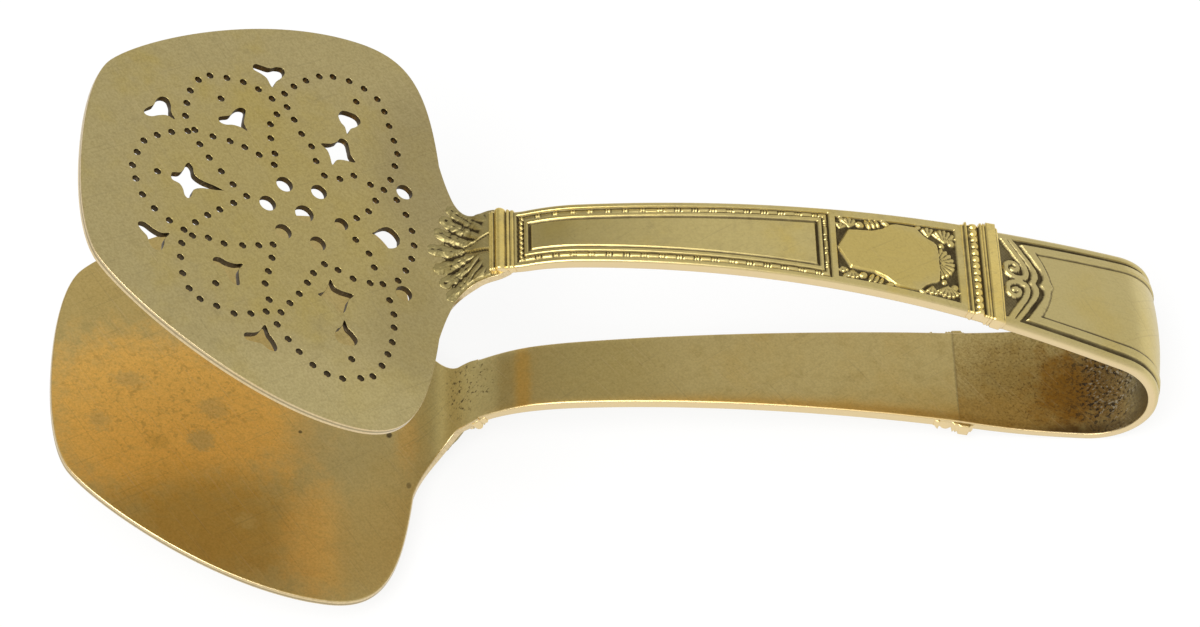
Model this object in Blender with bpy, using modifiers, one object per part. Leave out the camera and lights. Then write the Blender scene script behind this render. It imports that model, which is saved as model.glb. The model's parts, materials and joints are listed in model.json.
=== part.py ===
"""Sandwich tongs: two cranked, die-struck arms with broad blades, joined by a U-shaped spring bow.

Each half is a strip that starts at the middle of the bow and runs out through the bow leg, the arm and the
gooseneck to the blade. Its side view is a short table of bends, and each piece is laid out flat along the
strip (s along it, y across it, t through it) and then folded onto that line.

Metres, +Z up, +X towards the bow. The tongs rest on the lower heel and the underside of the bow, and the
origin is the middle of the footprint. Each half hangs on an empty that stands on its bending axis.
"""

import math

import bmesh
import bpy
from mathutils import Matrix, Vector

# Metal thicknesses, and the gap left at every soldered seam.
BOW_THICKNESS = 0.0019
ARM_THICKNESS = 0.0022
BLADE_THICKNESS = 0.0014
SEAM_GAP = 0.0003

# Lengths of the bent stretches of the strip, in order from the middle of the bow. The arch takes what is left.
BOW_RADIUS = 0.01156
FLARE_LENGTH = 0.0237
NECK_LENGTH = 0.0214
HEEL_LENGTH = 0.003
BLADE_LENGTH = 0.0701

# Bends in degrees: positive turns towards the other half.
BOW_TURN = 76.0
UPPER_BENDS = {"flare": 4.0, "arch": 23.6, "neck": 29.5, "heel": -56.7}
LOWER_BENDS = {"flare": 9.9, "arch": -15.2, "neck": -56.8, "heel": 78.3}

# Seams: each bow leg runs from the bow's U turn to the cross band, each arm from there to the collar, and each
# gooseneck from the collar to the start of the flat blade.
UPPER_LEG_LENGTH = 0.0276
LOWER_LEG_LENGTH = 0.0234
ARM_LENGTH = 0.0877
UPPER_GOOSENECK_LENGTH = 0.0118
LOWER_GOOSENECK_LENGTH = 0.016

# Strip widths at the neck, at the cross band and at the middle of the bow.
NECK_WIDTH = 0.0126
BAND_STRIP_WIDTH = 0.0206
BOW_WIDTH = 0.027
ARM_TAPER_POWER = 1.62
BOW_TAPER_POWER = 1.2

# The bow's outer face is domed across its width.
BOW_DOME = 0.0009

# Soldered mouldings: length along the strip, height over the face, and reach past each edge.
COLLAR_LENGTH = 0.0044
COLLAR_HEIGHT = 0.0011
COLLAR_LUG = 0.0008
BAND_LENGTH = 0.0074
BAND_HEIGHT = 0.0009
BAND_LUG = 0.0013
LEAF_THICKNESS = 0.0009
LEAF_INSET = 0.0004
LEAF_FLARE = 0.0064
LEAF_REACH = 0.0037
LEAF_WIDTH = 0.0192

# Blade outline: widths and places along the blade, measured from the heel.
BLADE_WIDTH = 0.0862
SHOULDER_AT = 0.0192
FLANK_AT = 0.0021
FLANK_WIDTH = 0.0388
TIP_WIDTH = 0.044
TIP_ROUND = 0.0044

# Piercing: a row of dots along each petal, larger round holes, and cusped holes.
DOT_DIAMETER = 0.0013
DOT_PITCH = 0.0031
EYE_DIAMETER = 0.0029
DOT_SIDES = 6
EYE_SIDES = 12
CUSP_STEPS = 4
CUSP_HOLLOW = 0.45

# Faceting: steps along each kind of strip, and across it.
STRIP_STEP = 0.0045
BOW_STEP = 0.0026
FOLD_STEP = 0.0017
STRIP_COLUMNS = 4
LEAF_STEPS = 4
EDGE_BEVEL = 0.0004

# Petals of the pierced figure, as (share of the blade's length, share of its half width).
# The first two lie on the blade's middle line and are half drawn, the others are closed loops.
TIP_PETAL = [(0.561, 0.0), (0.63, 0.098), (0.69, 0.2), (0.725, 0.25), (0.76, 0.232), (0.832, 0.153), (0.866, 0.0)]
NECK_PETAL = [(0.292, 0.0), (0.228, 0.113), (0.184, 0.243), (0.145, 0.202), (0.107, 0.08), (0.1, 0.0)]
TIP_SIDE_PETAL = [(0.486, 0.206), (0.565, 0.255), (0.65, 0.267), (0.718, 0.29), (0.73, 0.4), (0.7, 0.54),
                  (0.62, 0.601), (0.53, 0.58), (0.49, 0.52), (0.502, 0.397), (0.49, 0.274)]
NECK_SIDE_PETAL = [(0.351, 0.23), (0.397, 0.378), (0.448, 0.503), (0.472, 0.575), (0.438, 0.66), (0.37, 0.752),
                   (0.29, 0.777), (0.21, 0.72), (0.172, 0.603), (0.151, 0.46), (0.165, 0.335), (0.184, 0.25),
                   (0.268, 0.267)]

# Single dots inside the petals, the round eyes, and the cusped holes by their corners, in the same shares.
INNER_DOTS = [(0.8, 0.0), (0.638, 0.478), (0.267, 0.675)]
EYES = [(0.504, 0.0), (0.404, 0.0), (0.303, 0.0), (0.46, 0.122), (0.365, 0.135), (0.129, 0.265)]
TIP_CROSS = [(0.757, 0.0), (0.72, 0.03), (0.712, 0.09), (0.69, 0.03), (0.625, 0.0)]
NECK_DROP = [(0.218, 0.0), (0.19, 0.045), (0.158, 0.048), (0.142, 0.0)]
CUSPED_HOLES = [
    [(0.582, 0.464), (0.562, 0.35), (0.638, 0.36)],
    [(0.786, 0.401), (0.759, 0.302), (0.829, 0.285)],
    [(0.551, 0.696), (0.496, 0.615), (0.469, 0.735)],
    [(0.262, 0.61), (0.29, 0.487), (0.312, 0.59)],
    [(0.297, 0.455), (0.268, 0.341), (0.325, 0.299), (0.359, 0.387)],
]

# Lobe tips and notches of the acanthus leaf, as (share of its reach past the heel, share of its half width).
LEAF_LOBES = [(0.13, 1.0), (-0.1, 0.78), (0.7, 0.57), (0.42, 0.34), (0.88, 0.2), (1.0, 0.0)]

BRASS = ("gilt_brass", (0.46, 0.37, 0.17, 1.0), 0.34)
BLADE_BRASS = ("blade_brass", (0.56, 0.48, 0.27, 1.0), 0.3)
BOW_BRASS = ("bow_brass", (0.41, 0.32, 0.15, 1.0), 0.36)

BOW_HALF = BOW_RADIUS * math.radians(BOW_TURN)


class Half:
    """One half of the tongs: its bends, its side, its seams and the line that its strip follows."""

    def __init__(self, name, side, bends, leg_length, gooseneck_length):
        self.name = name
        self.side = side
        self.band_at = BOW_HALF + leg_length
        self.collar_at = self.band_at + ARM_LENGTH
        self.blade_at = self.collar_at + gooseneck_length
        arch_length = self.blade_at - BOW_HALF - FLARE_LENGTH - NECK_LENGTH - HEEL_LENGTH
        self.bends = [
            (BOW_HALF, BOW_TURN),
            (FLARE_LENGTH, bends["flare"]),
            (arch_length, bends["arch"]),
            (NECK_LENGTH, bends["neck"]),
            (HEEL_LENGTH, bends["heel"]),
            (BLADE_LENGTH, 0.0),
        ]

    def frame(self, s):
        """Point (x, z) of the strip's middle and its heading, s along from the middle of the bow."""
        x, z, heading = 0.0, 0.0, self.side * math.pi / 2
        left = s
        last = len(self.bends) - 1
        for index, (length, turn) in enumerate(self.bends):
            step = left if index == last else min(left, length)
            bend = self.side * math.radians(turn) * step / length
            chord = step if bend == 0 else step * math.sin(bend / 2) / (bend / 2)
            x += chord * math.cos(heading + bend / 2)
            z += chord * math.sin(heading + bend / 2)
            heading += bend
            left -= step
            if left <= 0:
                break
        return x, z, heading

    def place(self, s, y, t):
        """Point s along the strip, y across it and t out from its middle towards the outer face."""
        x, z, heading = self.frame(s)
        return Vector((x + self.side * t * math.sin(heading), y, z - self.side * t * math.cos(heading)))

    def matrix(self, s, t):
        """Frame at s: local X along the strip, local Y out of the outer face, local Z across it."""
        heading = self.frame(s)[2]
        along = Vector((math.cos(heading), 0, math.sin(heading)))
        out = Vector((self.side * math.sin(heading), 0, -self.side * math.cos(heading)))
        matrix = Matrix((along, out, along.cross(out))).transposed().to_4x4()
        matrix.translation = self.place(s, 0, t)
        return matrix

    def width(self, s):
        """Width of the strip at s, from the bow to the neck."""
        if s <= self.band_at:
            return BOW_WIDTH - (BOW_WIDTH - BAND_STRIP_WIDTH) * (s / self.band_at) ** BOW_TAPER_POWER
        share = max(self.collar_at - s, 0) / ARM_LENGTH
        return NECK_WIDTH + (BAND_STRIP_WIDTH - NECK_WIDTH) * share ** ARM_TAPER_POWER

    def on_strip(self, s, across, grow=0.0):
        """Point of the strip's middle surface, with across from -0.5 to 0.5 over its width."""
        fade = max(0.0, 1 - s / self.band_at)
        return self.place(s, across * (self.width(s) + 2 * grow), -BOW_DOME * fade * (2 * across) ** 2)


UPPER = Half("upper", 1, UPPER_BENDS, UPPER_LEG_LENGTH, UPPER_GOOSENECK_LENGTH)
LOWER = Half("lower", -1, LOWER_BENDS, LOWER_LEG_LENGTH, LOWER_GOOSENECK_LENGTH)


def resting_tilt():
    """Turn about Y that sets the lower heel and the bow's underside level."""
    heel_out = BLADE_THICKNESS / 2 + SEAM_GAP + LEAF_THICKNESS
    steps = 400
    neck = LOWER.blade_at - LOWER.collar_at
    bow = [LOWER.place(LOWER.band_at * i / steps, 0, BOW_THICKNESS / 2) for i in range(steps)]
    heel = [LOWER.place(LOWER.collar_at + neck * i / steps, 0, heel_out) for i in range(steps)]
    tilt = 0.0
    for _ in range(20):
        turn = Matrix.Rotation(tilt, 3, "Y")
        under_bow = min((turn @ p for p in bow), key=lambda p: p.z)
        under_heel = min((turn @ p for p in heel), key=lambda p: p.z)
        tilt += math.atan2(under_bow.z - under_heel.z, under_bow.x - under_heel.x)
    return tilt


def smooth_through(points, closed, steps=10):
    """Points on a smooth curve through the given ones."""
    count = len(points)
    spans = count if closed else count - 1
    result = []
    for i in range(spans):
        p = [points[(i + k) % count] if closed else points[min(max(i + k, 0), count - 1)] for k in (-1, 0, 1, 2)]
        for j in range(steps):
            u = j / steps
            weights = (-u + 2 * u**2 - u**3, 2 - 5 * u**2 + 3 * u**3, u + 4 * u**2 - 3 * u**3, u**3 - u**2)
            result.append(tuple(sum(w * q[axis] for w, q in zip(weights, p)) / 2 for axis in (0, 1)))
    if not closed:
        result.append(points[-1])
    return result


def spaced(points, pitch):
    """Points at even distances along a polyline, about one pitch apart, with both ends kept."""
    lengths = [0.0]
    for a, b in zip(points, points[1:]):
        lengths.append(lengths[-1] + math.dist(a, b))
    count = max(1, round(lengths[-1] / pitch))
    result = []
    for i in range(count + 1):
        target = lengths[-1] * i / count
        k = next((n for n in range(1, len(lengths)) if lengths[n] >= target), len(lengths) - 1)
        span = lengths[k] - lengths[k - 1]
        u = 0.0 if span == 0 else (target - lengths[k - 1]) / span
        result.append(tuple(a + (b - a) * u for a, b in zip(points[k - 1], points[k])))
    return result


def on_blade(share):
    """Plan position of a point given in shares of the blade's length and half width."""
    return (share[0] * BLADE_LENGTH, share[1] * BLADE_WIDTH / 2)


def mirrored(points):
    """The same points on the other side of the blade's middle line, in reverse order."""
    return [(a, -y) for a, y in reversed(points)]


def ring(centre, diameter, sides):
    """Corners of a round hole."""
    return [(centre[0] + diameter / 2 * math.cos(2 * math.pi * i / sides),
             centre[1] + diameter / 2 * math.sin(2 * math.pi * i / sides)) for i in range(sides)]


def cusped(corners):
    """Outline of a hole whose sides bow in between its corners."""
    middle = (sum(c[0] for c in corners) / len(corners), sum(c[1] for c in corners) / len(corners))
    outline = []
    for start, end in zip(corners, corners[1:] + corners[:1]):
        pull = [(a + b) / 2 + CUSP_HOLLOW * (m - (a + b) / 2) for a, b, m in zip(start, end, middle)]
        for i in range(CUSP_STEPS):
            u = i / CUSP_STEPS
            outline.append(tuple((1 - u) ** 2 * a + 2 * u * (1 - u) * c + u**2 * b
                                 for a, c, b in zip(start, pull, end)))
    return outline


def piercing():
    """Outlines of all the holes in the pierced blade, in plan."""
    rows = []
    for half_petal in (TIP_PETAL, NECK_PETAL):
        line = [on_blade(p) for p in half_petal]
        rows.append(spaced(smooth_through(line, closed=False), DOT_PITCH))
    for loop in (TIP_SIDE_PETAL, NECK_SIDE_PETAL):
        curve = smooth_through([on_blade(p) for p in loop], closed=True)
        rows.append(spaced(curve + curve[:1], DOT_PITCH)[:-1])
    rows.append([on_blade(p) for p in INNER_DOTS])
    eyes = []
    for share in EYES:
        a, y = on_blade(share)
        eyes += [(a, y)] if y == 0 else [(a, y), (a, -y)]
    dots = []
    for row in rows:
        for a, y in row:
            for side in (1, -1):
                spot = (a, side * y)
                clear = all(math.dist(spot, other) > 0.6 * DOT_PITCH for other in dots)
                if clear and all(math.dist(spot, eye) > 0.7 * EYE_DIAMETER for eye in eyes):
                    dots.append(spot)
    holes = [ring(spot, DOT_DIAMETER, DOT_SIDES) for spot in dots]
    holes += [ring(eye, EYE_DIAMETER, EYE_SIDES) for eye in eyes]
    for half_hole in (TIP_CROSS, NECK_DROP):
        side = [on_blade(p) for p in half_hole]
        holes.append(side + mirrored(side[1:-1]))
    for corners in CUSPED_HOLES:
        outline = cusped([on_blade(p) for p in corners])
        holes += [outline, mirrored(outline)]
    return holes


def blade_outline(half):
    """Bezier corners of one side of a blade from the collar's seam to the tip: (point, handle in, handle out)."""
    neck, flank, shoulder, tip = NECK_WIDTH / 2, FLANK_WIDTH / 2, BLADE_WIDTH / 2, TIP_WIDTH / 2
    corner_at = BLADE_LENGTH - TIP_ROUND
    reach = SHOULDER_AT - FLANK_AT
    side = corner_at - SHOULDER_AT
    seam = half.collar_at + SEAM_GAP / 2 - half.blade_at
    root = FLANK_AT - 0.45 * flank
    return [
        ((seam, neck), (seam, neck), (seam / 2, neck)),
        ((root, neck), (root - 0.15 * flank, neck), (root + 0.25 * flank, neck)),
        ((FLANK_AT, flank), (FLANK_AT - 0.1 * flank, flank - 0.35 * flank),
         (FLANK_AT + 0.14 * reach, flank + 0.75 * (shoulder - flank))),
        ((SHOULDER_AT, shoulder), (SHOULDER_AT - 0.64 * reach, shoulder), (SHOULDER_AT + 0.4 * side, shoulder)),
        ((corner_at, tip), (corner_at - 0.22 * side, tip + 0.42 * (shoulder - tip)),
         (corner_at + 0.6 * TIP_ROUND, tip - 0.25 * tip)),
        ((BLADE_LENGTH, 0), (BLADE_LENGTH, 0.45 * tip), (BLADE_LENGTH, -0.45 * tip)),
    ]


def leaf_outline(half):
    """Plan of the acanthus leaf: as wide as the neck at the collar, fanned out with it, and lobed at the heel."""
    start = half.collar_at + COLLAR_LENGTH / 2 + SEAM_GAP
    neck = NECK_WIDTH / 2 - LEAF_INSET
    lobes = [(half.blade_at + LEAF_REACH * along, LEAF_WIDTH / 2 * across) for along, across in LEAF_LOBES]
    flare_at = half.blade_at - LEAF_FLARE
    side = [(start, neck)]
    for i in range(LEAF_STEPS):
        u = i / LEAF_STEPS
        side.append((flare_at + (lobes[0][0] - flare_at) * u, neck + (lobes[0][1] - neck) * u**2))
    side += smooth_through(lobes, closed=False, steps=LEAF_STEPS)
    return side + [(s, -y) for s, y in reversed(side[:-1])]


def material(spec):
    """Principled metal from (name, colour, roughness)."""
    name, colour, roughness = spec
    found = bpy.data.materials.get(name)
    if found:
        return found
    metal = bpy.data.materials.new(name)
    metal.use_nodes = True
    shader = metal.node_tree.nodes["Principled BSDF"]
    shader.inputs["Base Color"].default_value = colour
    shader.inputs["Roughness"].default_value = roughness
    shader.inputs["Metallic"].default_value = 1.0
    return metal


def add_object(name, mesh, collection, spec=None):
    """Named object of a mesh, in a collection, with its metal."""
    obj = bpy.data.objects.new(name, mesh)
    collection.objects.link(obj)
    if spec:
        mesh.materials.append(material(spec))
    return obj


def add_bevel(obj):
    """Break the sharp outer edges of a strip."""
    bevel = obj.modifiers.new("edges", "BEVEL")
    bevel.width = EDGE_BEVEL
    bevel.segments = 1
    bevel.limit_method = "ANGLE"
    bevel.angle_limit = math.radians(50)


def strip_mesh(name, on_strip, start, end, step, grow=0.0):
    """Middle surface of a strip from start to end, as a grid folded onto its line."""
    rows = max(2, round((end - start) / step))
    bm = bmesh.new()
    bmesh.ops.create_grid(bm, x_segments=rows, y_segments=STRIP_COLUMNS, size=0.5)
    for vertex in bm.verts:
        s = start + (vertex.co.x + 0.5) * (end - start)
        vertex.co = on_strip(s, vertex.co.y, grow)
    bmesh.ops.recalc_face_normals(bm, faces=bm.faces)
    mesh = bpy.data.meshes.new(name)
    bm.to_mesh(mesh)
    bm.free()
    return mesh


def add_thickness(obj, thickness):
    """Give a middle surface its metal thickness, half on each side."""
    solidify = obj.modifiers.new("thickness", "SOLIDIFY")
    solidify.thickness = thickness
    solidify.offset = 0.0
    solidify.use_even_offset = True


def strip_piece(name, half, start, end, thickness, spec, collection):
    """Solid stretch of one half's strip."""
    mesh = strip_mesh(name, half.on_strip, start, end, STRIP_STEP)
    obj = add_object(name, mesh, collection, spec)
    add_thickness(obj, thickness)
    add_bevel(obj)
    return obj


def bow_piece(collection):
    """The U turn of the spring bow, from one bending line round to the other."""
    def on_bow(s, across, grow):
        return (UPPER if s >= 0 else LOWER).on_strip(abs(s), across, grow)

    end = BOW_HALF - SEAM_GAP / 2
    obj = add_object("bow", strip_mesh("bow", on_bow, -end, end, BOW_STEP), collection, BOW_BRASS)
    add_thickness(obj, BOW_THICKNESS)
    add_bevel(obj)
    return obj


def plate_from_curve(name, curve):
    """Closed mesh of a filled 2D curve."""
    source = bpy.data.objects.new(name + "_plan", curve)
    bpy.context.scene.collection.objects.link(source)
    bpy.context.view_layer.update()
    mesh = bpy.data.meshes.new_from_object(source.evaluated_get(bpy.context.evaluated_depsgraph_get()))
    mesh.name = name
    bpy.data.objects.remove(source)
    bm = bmesh.new()
    bm.from_mesh(mesh)
    bmesh.ops.remove_doubles(bm, verts=bm.verts, dist=1e-6)
    bm.to_mesh(mesh)
    bm.free()
    return mesh


def new_plan(name, thickness):
    """Empty 2D curve whose outlines are filled and extruded to a thickness."""
    curve = bpy.data.curves.new(name, "CURVE")
    curve.dimensions = "2D"
    curve.fill_mode = "BOTH"
    curve.extrude = thickness / 2
    curve.resolution_u = 7
    return curve


def add_polygon(curve, points):
    """Closed straight-sided outline in a plan."""
    spline = curve.splines.new("POLY")
    spline.points.add(len(points) - 1)
    for target, (s, y) in zip(spline.points, points):
        target.co = (s, y, 0, 1)
    spline.use_cyclic_u = True


def add_bezier(curve, corners):
    """Closed smooth outline in a plan, from (point, handle in, handle out)."""
    spline = curve.splines.new("BEZIER")
    spline.bezier_points.add(len(corners) - 1)
    for target, (point, before, after) in zip(spline.bezier_points, corners):
        target.handle_left_type = target.handle_right_type = "FREE"
        target.co = (*point, 0)
        target.handle_left = (*before, 0)
        target.handle_right = (*after, 0)
    spline.use_cyclic_u = True


def fold(mesh, half, lift):
    """Cut a flat plate across its gooseneck and heel, and fold it onto a half's line."""
    bm = bmesh.new()
    bm.from_mesh(mesh)
    neck = half.blade_at - half.collar_at
    cuts = max(2, round(neck / FOLD_STEP))
    for i in range(cuts + 1):
        where = half.collar_at + neck * i / cuts
        everything = bm.verts[:] + bm.edges[:] + bm.faces[:]
        bmesh.ops.bisect_plane(bm, geom=everything, dist=1e-7, plane_co=(where, 0, 0), plane_no=(1, 0, 0))
    for vertex in bm.verts:
        vertex.co = half.place(vertex.co.x, vertex.co.y, vertex.co.z + lift)
    if half.side > 0:
        bmesh.ops.reverse_faces(bm, faces=bm.faces)
    bm.to_mesh(mesh)
    bm.free()
    return mesh


def blade_piece(half, pierced, collection):
    """Blade and gooseneck of one half, cut from one sheet, with or without the pierced figure."""
    name = half.name + "_blade"
    curve = new_plan(name, BLADE_THICKNESS)
    corners = [tuple((a + half.blade_at, y) for a, y in corner) for corner in blade_outline(half)]
    other = [tuple((p[0], -p[1]) for p in (point, after, before)) for point, before, after in reversed(corners[:-1])]
    add_bezier(curve, corners + other)
    for hole in piercing() if pierced else []:
        add_polygon(curve, [(a + half.blade_at, y) for a, y in hole])
    mesh = fold(plate_from_curve(name, curve), half, 0.0)
    return add_object(name, mesh, collection, BLADE_BRASS)


def leaf_piece(half, collection):
    """Acanthus leaf on the outer face of the gooseneck and heel."""
    name = half.name + "_leaf"
    curve = new_plan(name, LEAF_THICKNESS)
    add_polygon(curve, leaf_outline(half))
    lift = (BLADE_THICKNESS + LEAF_THICKNESS) / 2 + SEAM_GAP
    mesh = fold(plate_from_curve(name, curve), half, lift)
    return add_object(name, mesh, collection, BRASS)


def moulding_profile(length, height, thickness):
    """Section of a cross moulding: straight legs past the strip's edges under a rounded back."""
    low, shoulder = -thickness / 2, thickness / 2 + 0.35 * height
    steps = 10
    arch = []
    for i in range(steps + 1):
        angle = math.pi * i / steps
        rise = thickness / 2 + height - shoulder
        arch.append((length / 2 * math.cos(angle), shoulder + rise * math.sin(angle)))
    return [(length / 2, low)] + arch + [(-length / 2, low)]


def moulding_piece(name, half, at, sizes, thickness, spec, collection, cutters):
    """Saddle across the outer face, whose ends reach past the strip's edges and which the strip passes through."""
    length, height, lug = sizes
    width = half.width(at - length / 2) + 2 * (SEAM_GAP + lug)
    curve = new_plan(name, width)
    add_polygon(curve, moulding_profile(length, height, thickness + 2 * SEAM_GAP))
    obj = add_object(name, plate_from_curve(name, curve), collection, spec)
    obj.matrix_world = half.matrix(at, 0)
    tool = add_object(name + "_channel", strip_mesh(name + "_channel", half.on_strip, at - length, at + length,
                                                    length / 4, SEAM_GAP), cutters)
    add_thickness(tool, thickness + 2 * SEAM_GAP)
    tool.hide_render = True
    tool.display_type = "WIRE"
    cut = obj.modifiers.new("strip channel", "BOOLEAN")
    cut.operation = "DIFFERENCE"
    cut.object = tool
    return obj


def hinge_empty(name, half, collection):
    """Empty on a half's bending axis, at the end of the bow's U turn."""
    empty = bpy.data.objects.new(name, None)
    empty.empty_display_size = BOW_RADIUS
    collection.objects.link(empty)
    empty.location = half.place(BOW_HALF, 0, 0)
    return empty


def build_half(half, pierced, collection, cutters):
    """All the pieces of one half, carried by the empty on its bending axis."""
    seam = SEAM_GAP / 2
    collar = (COLLAR_LENGTH, COLLAR_HEIGHT, COLLAR_LUG)
    band = (BAND_LENGTH, BAND_HEIGHT, BAND_LUG)
    pieces = [
        strip_piece(half.name + "_bow_leg", half, BOW_HALF + seam, half.band_at - seam, BOW_THICKNESS, BOW_BRASS,
                    collection),
        strip_piece(half.name + "_arm", half, half.band_at + seam, half.collar_at - seam, ARM_THICKNESS, BRASS,
                    collection),
        moulding_piece(half.name + "_cross_band", half, half.band_at, band, ARM_THICKNESS, BRASS, collection,
                       cutters),
        moulding_piece(half.name + "_neck_collar", half, half.collar_at, collar, ARM_THICKNESS, BRASS, collection,
                       cutters),
        leaf_piece(half, collection),
        blade_piece(half, pierced, collection),
    ]
    empty = hinge_empty(half.name + "_bending_axis", half, collection)
    for tool in cutters.objects:
        if tool.name.startswith(half.name):
            pieces.append(tool)
    for piece in pieces:
        piece.parent = empty
        piece.matrix_parent_inverse = Matrix.Translation(-empty.location)
    return empty


def set_on_table(root, collection):
    """Tilt the assembly onto its two resting places and bring its footprint's middle to the origin."""
    root.rotation_euler = (0, resting_tilt(), 0)
    bpy.context.view_layer.update()
    graph = bpy.context.evaluated_depsgraph_get()
    points = []
    for obj in collection.objects:
        if obj.type == "MESH":
            solid = obj.evaluated_get(graph)
            points += [obj.matrix_world @ vertex.co for vertex in solid.data.vertices]
    low = [min(p[axis] for p in points) for axis in range(3)]
    high = [max(p[axis] for p in points) for axis in range(3)]
    root.location = (-(low[0] + high[0]) / 2, -(low[1] + high[1]) / 2, -low[2])
    bpy.context.view_layer.update()


def main():
    for obj in list(bpy.data.objects):
        bpy.data.objects.remove(obj)
    collection = bpy.data.collections.new("sandwich_tongs")
    cutters = bpy.data.collections.new("cutters")
    for group in (collection, cutters):
        bpy.context.scene.collection.children.link(group)
    root = bpy.data.objects.new("tongs", None)
    collection.objects.link(root)
    carried = [bow_piece(collection)]
    carried.append(build_half(UPPER, True, collection, cutters))
    carried.append(build_half(LOWER, False, collection, cutters))
    for obj in carried:
        obj.parent = root
    set_on_table(root, collection)


main()
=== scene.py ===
"""Sandwich tongs in tarnished gilt brass: struck ornament, pierced blade, finishes and studio.

Each half of the tongs is one strip that runs from the middle of the spring bow out to the blade's tip.
Surfaces are laid out on that strip (s along it, y across it, t out through it, in millimetres) and bent onto
its line.
"""

import json
import logging
import math
from dataclasses import dataclass, replace
from enum import Enum
from typing import Callable, Sequence

import bmesh
import bpy
import numpy as np
from mathutils import Matrix, Vector


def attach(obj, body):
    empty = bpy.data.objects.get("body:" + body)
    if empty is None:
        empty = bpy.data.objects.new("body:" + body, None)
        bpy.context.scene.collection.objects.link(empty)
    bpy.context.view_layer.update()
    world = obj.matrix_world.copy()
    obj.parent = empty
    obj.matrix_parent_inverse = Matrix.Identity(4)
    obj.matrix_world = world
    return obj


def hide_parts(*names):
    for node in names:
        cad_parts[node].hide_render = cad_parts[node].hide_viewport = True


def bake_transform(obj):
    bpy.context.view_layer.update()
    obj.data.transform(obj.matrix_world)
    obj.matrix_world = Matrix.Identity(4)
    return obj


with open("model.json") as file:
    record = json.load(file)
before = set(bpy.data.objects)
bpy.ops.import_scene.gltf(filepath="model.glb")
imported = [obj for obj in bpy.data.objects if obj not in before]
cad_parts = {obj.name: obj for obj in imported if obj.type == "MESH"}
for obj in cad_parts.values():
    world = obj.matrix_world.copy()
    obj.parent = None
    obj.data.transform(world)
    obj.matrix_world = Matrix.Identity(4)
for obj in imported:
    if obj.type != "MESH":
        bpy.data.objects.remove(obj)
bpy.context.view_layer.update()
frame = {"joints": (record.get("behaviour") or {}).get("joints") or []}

MM = 0.001
LOG = logging.getLogger("tongs")

Array = np.ndarray
Colour = tuple[float, float, float]
Points = Sequence[tuple[float, float]]
Relief = Callable[[Array, Array, Array], Array]
Reach = Callable[[Array], Array]


class Half(Enum):
    """The two halves of the tongs, each with the side that its strip turns to."""

    UPPER = 1
    LOWER = -1

    @property
    def label(self) -> str:
        """Prefix of this half's node names."""
        return self.name.lower()

    @property
    def body(self) -> str:
        """Name of the moving body that carries this half."""
        return self.label + "_half"


class Face(Enum):
    """Material slots of a skin: its outer face, its inner face, its cut edge and the walls of its holes."""

    OUTER = 0
    INNER = 1
    EDGE = 2
    WALL = 3


def smoothstep(low: float | Array, high: float | Array, x: Array) -> Array:
    """Ease from 0 at low to 1 at high."""
    share = np.clip((x - low) / (high - low), 0.0, 1.0)
    return share * share * (3 - 2 * share)


def band(distance: Array, half: float | Array, edge: float) -> Array:
    """1 within half of a line, easing to 0 over edge."""
    return 1 - smoothstep(half, half + edge, np.abs(distance))


def rounded(distance: Array, half: float) -> Array:
    """Half-round section of a bead or torus, 1 on its crown."""
    return np.sqrt(np.clip(1 - (distance / half) ** 2, 0.0, 1.0))


def smooth_path(points: Points, closed: bool = False, steps: int = 8) -> Array:
    """Smooth curve through the given points.

    Args:
        points: the points to pass through.
        closed: whether the curve returns to its first point.
        steps: stretches between one point and the next.

    Returns:
        Array of points on the curve.
    """
    given = np.array(points, float)
    count = len(given)
    spans = count if closed else count - 1
    pieces = []
    for i in range(spans):
        picks = [(i + k) % count if closed else min(max(i + k, 0), count - 1) for k in (-1, 0, 1, 2)]
        a, b, c, d = given[picks]
        u = np.linspace(0, 1, steps, endpoint=False)[:, None]
        square, cube = 2 * a - 5 * b + 4 * c - d, 3 * b - a - 3 * c + d
        pieces.append(0.5 * (2 * b + (c - a) * u + square * u**2 + cube * u**3))
    if not closed:
        pieces.append(given[-1:])
    return np.concatenate(pieces)


def path_distance(u: Array, y: Array, path: Array) -> tuple[Array, Array]:
    """Distance of points from a path.

    Args:
        u: first coordinate of the points.
        y: second coordinate of the points.
        path: points of the path, in order.

    Returns:
        The distance of each point, and the share of the path at its nearest place.
    """
    best = np.full(u.shape, 1e9)
    where = np.zeros(u.shape)
    last = len(path) - 1
    for i in range(last):
        (au, ay), (bu, by) = path[i], path[i + 1]
        du, dy = bu - au, by - ay
        length = du * du + dy * dy + 1e-12
        share = np.clip(((u - au) * du + (y - ay) * dy) / length, 0, 1)
        gap = np.hypot(u - au - share * du, y - ay - share * dy)
        closer = gap < best
        best = np.where(closer, gap, best)
        where = np.where(closer, (i + share) / last, where)
    return best, where


def outline_depth(u: Array, y: Array, outline: Array) -> Array:
    """Distance inside a closed outline, negative outside it."""
    loop = np.concatenate([outline, outline[:1]])
    gap, _ = path_distance(u, y, loop)
    inside = np.zeros(u.shape, bool)
    for (au, ay), (bu, by) in zip(loop, loop[1:]):
        if ay != by:
            cross = au + (y - ay) * (bu - au) / (by - ay)
            inside ^= ((ay > y) != (by > y)) & (u < cross)
    return np.where(inside, gap, -gap)


def blurred(values: Array, reach: int) -> Array:
    """Box blur of a grid over reach cells each way."""
    result = values
    for axis in (0, 1):
        size = 2 * reach + 1
        pad = [(0, 0), (0, 0)]
        pad[axis] = (reach + 1, reach)
        total = np.cumsum(np.pad(result, pad, mode="edge"), axis=axis)
        high = np.take(total, range(size, total.shape[axis]), axis=axis)
        low = np.take(total, range(0, total.shape[axis] - size), axis=axis)
        result = (high - low) / size
    return result


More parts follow.
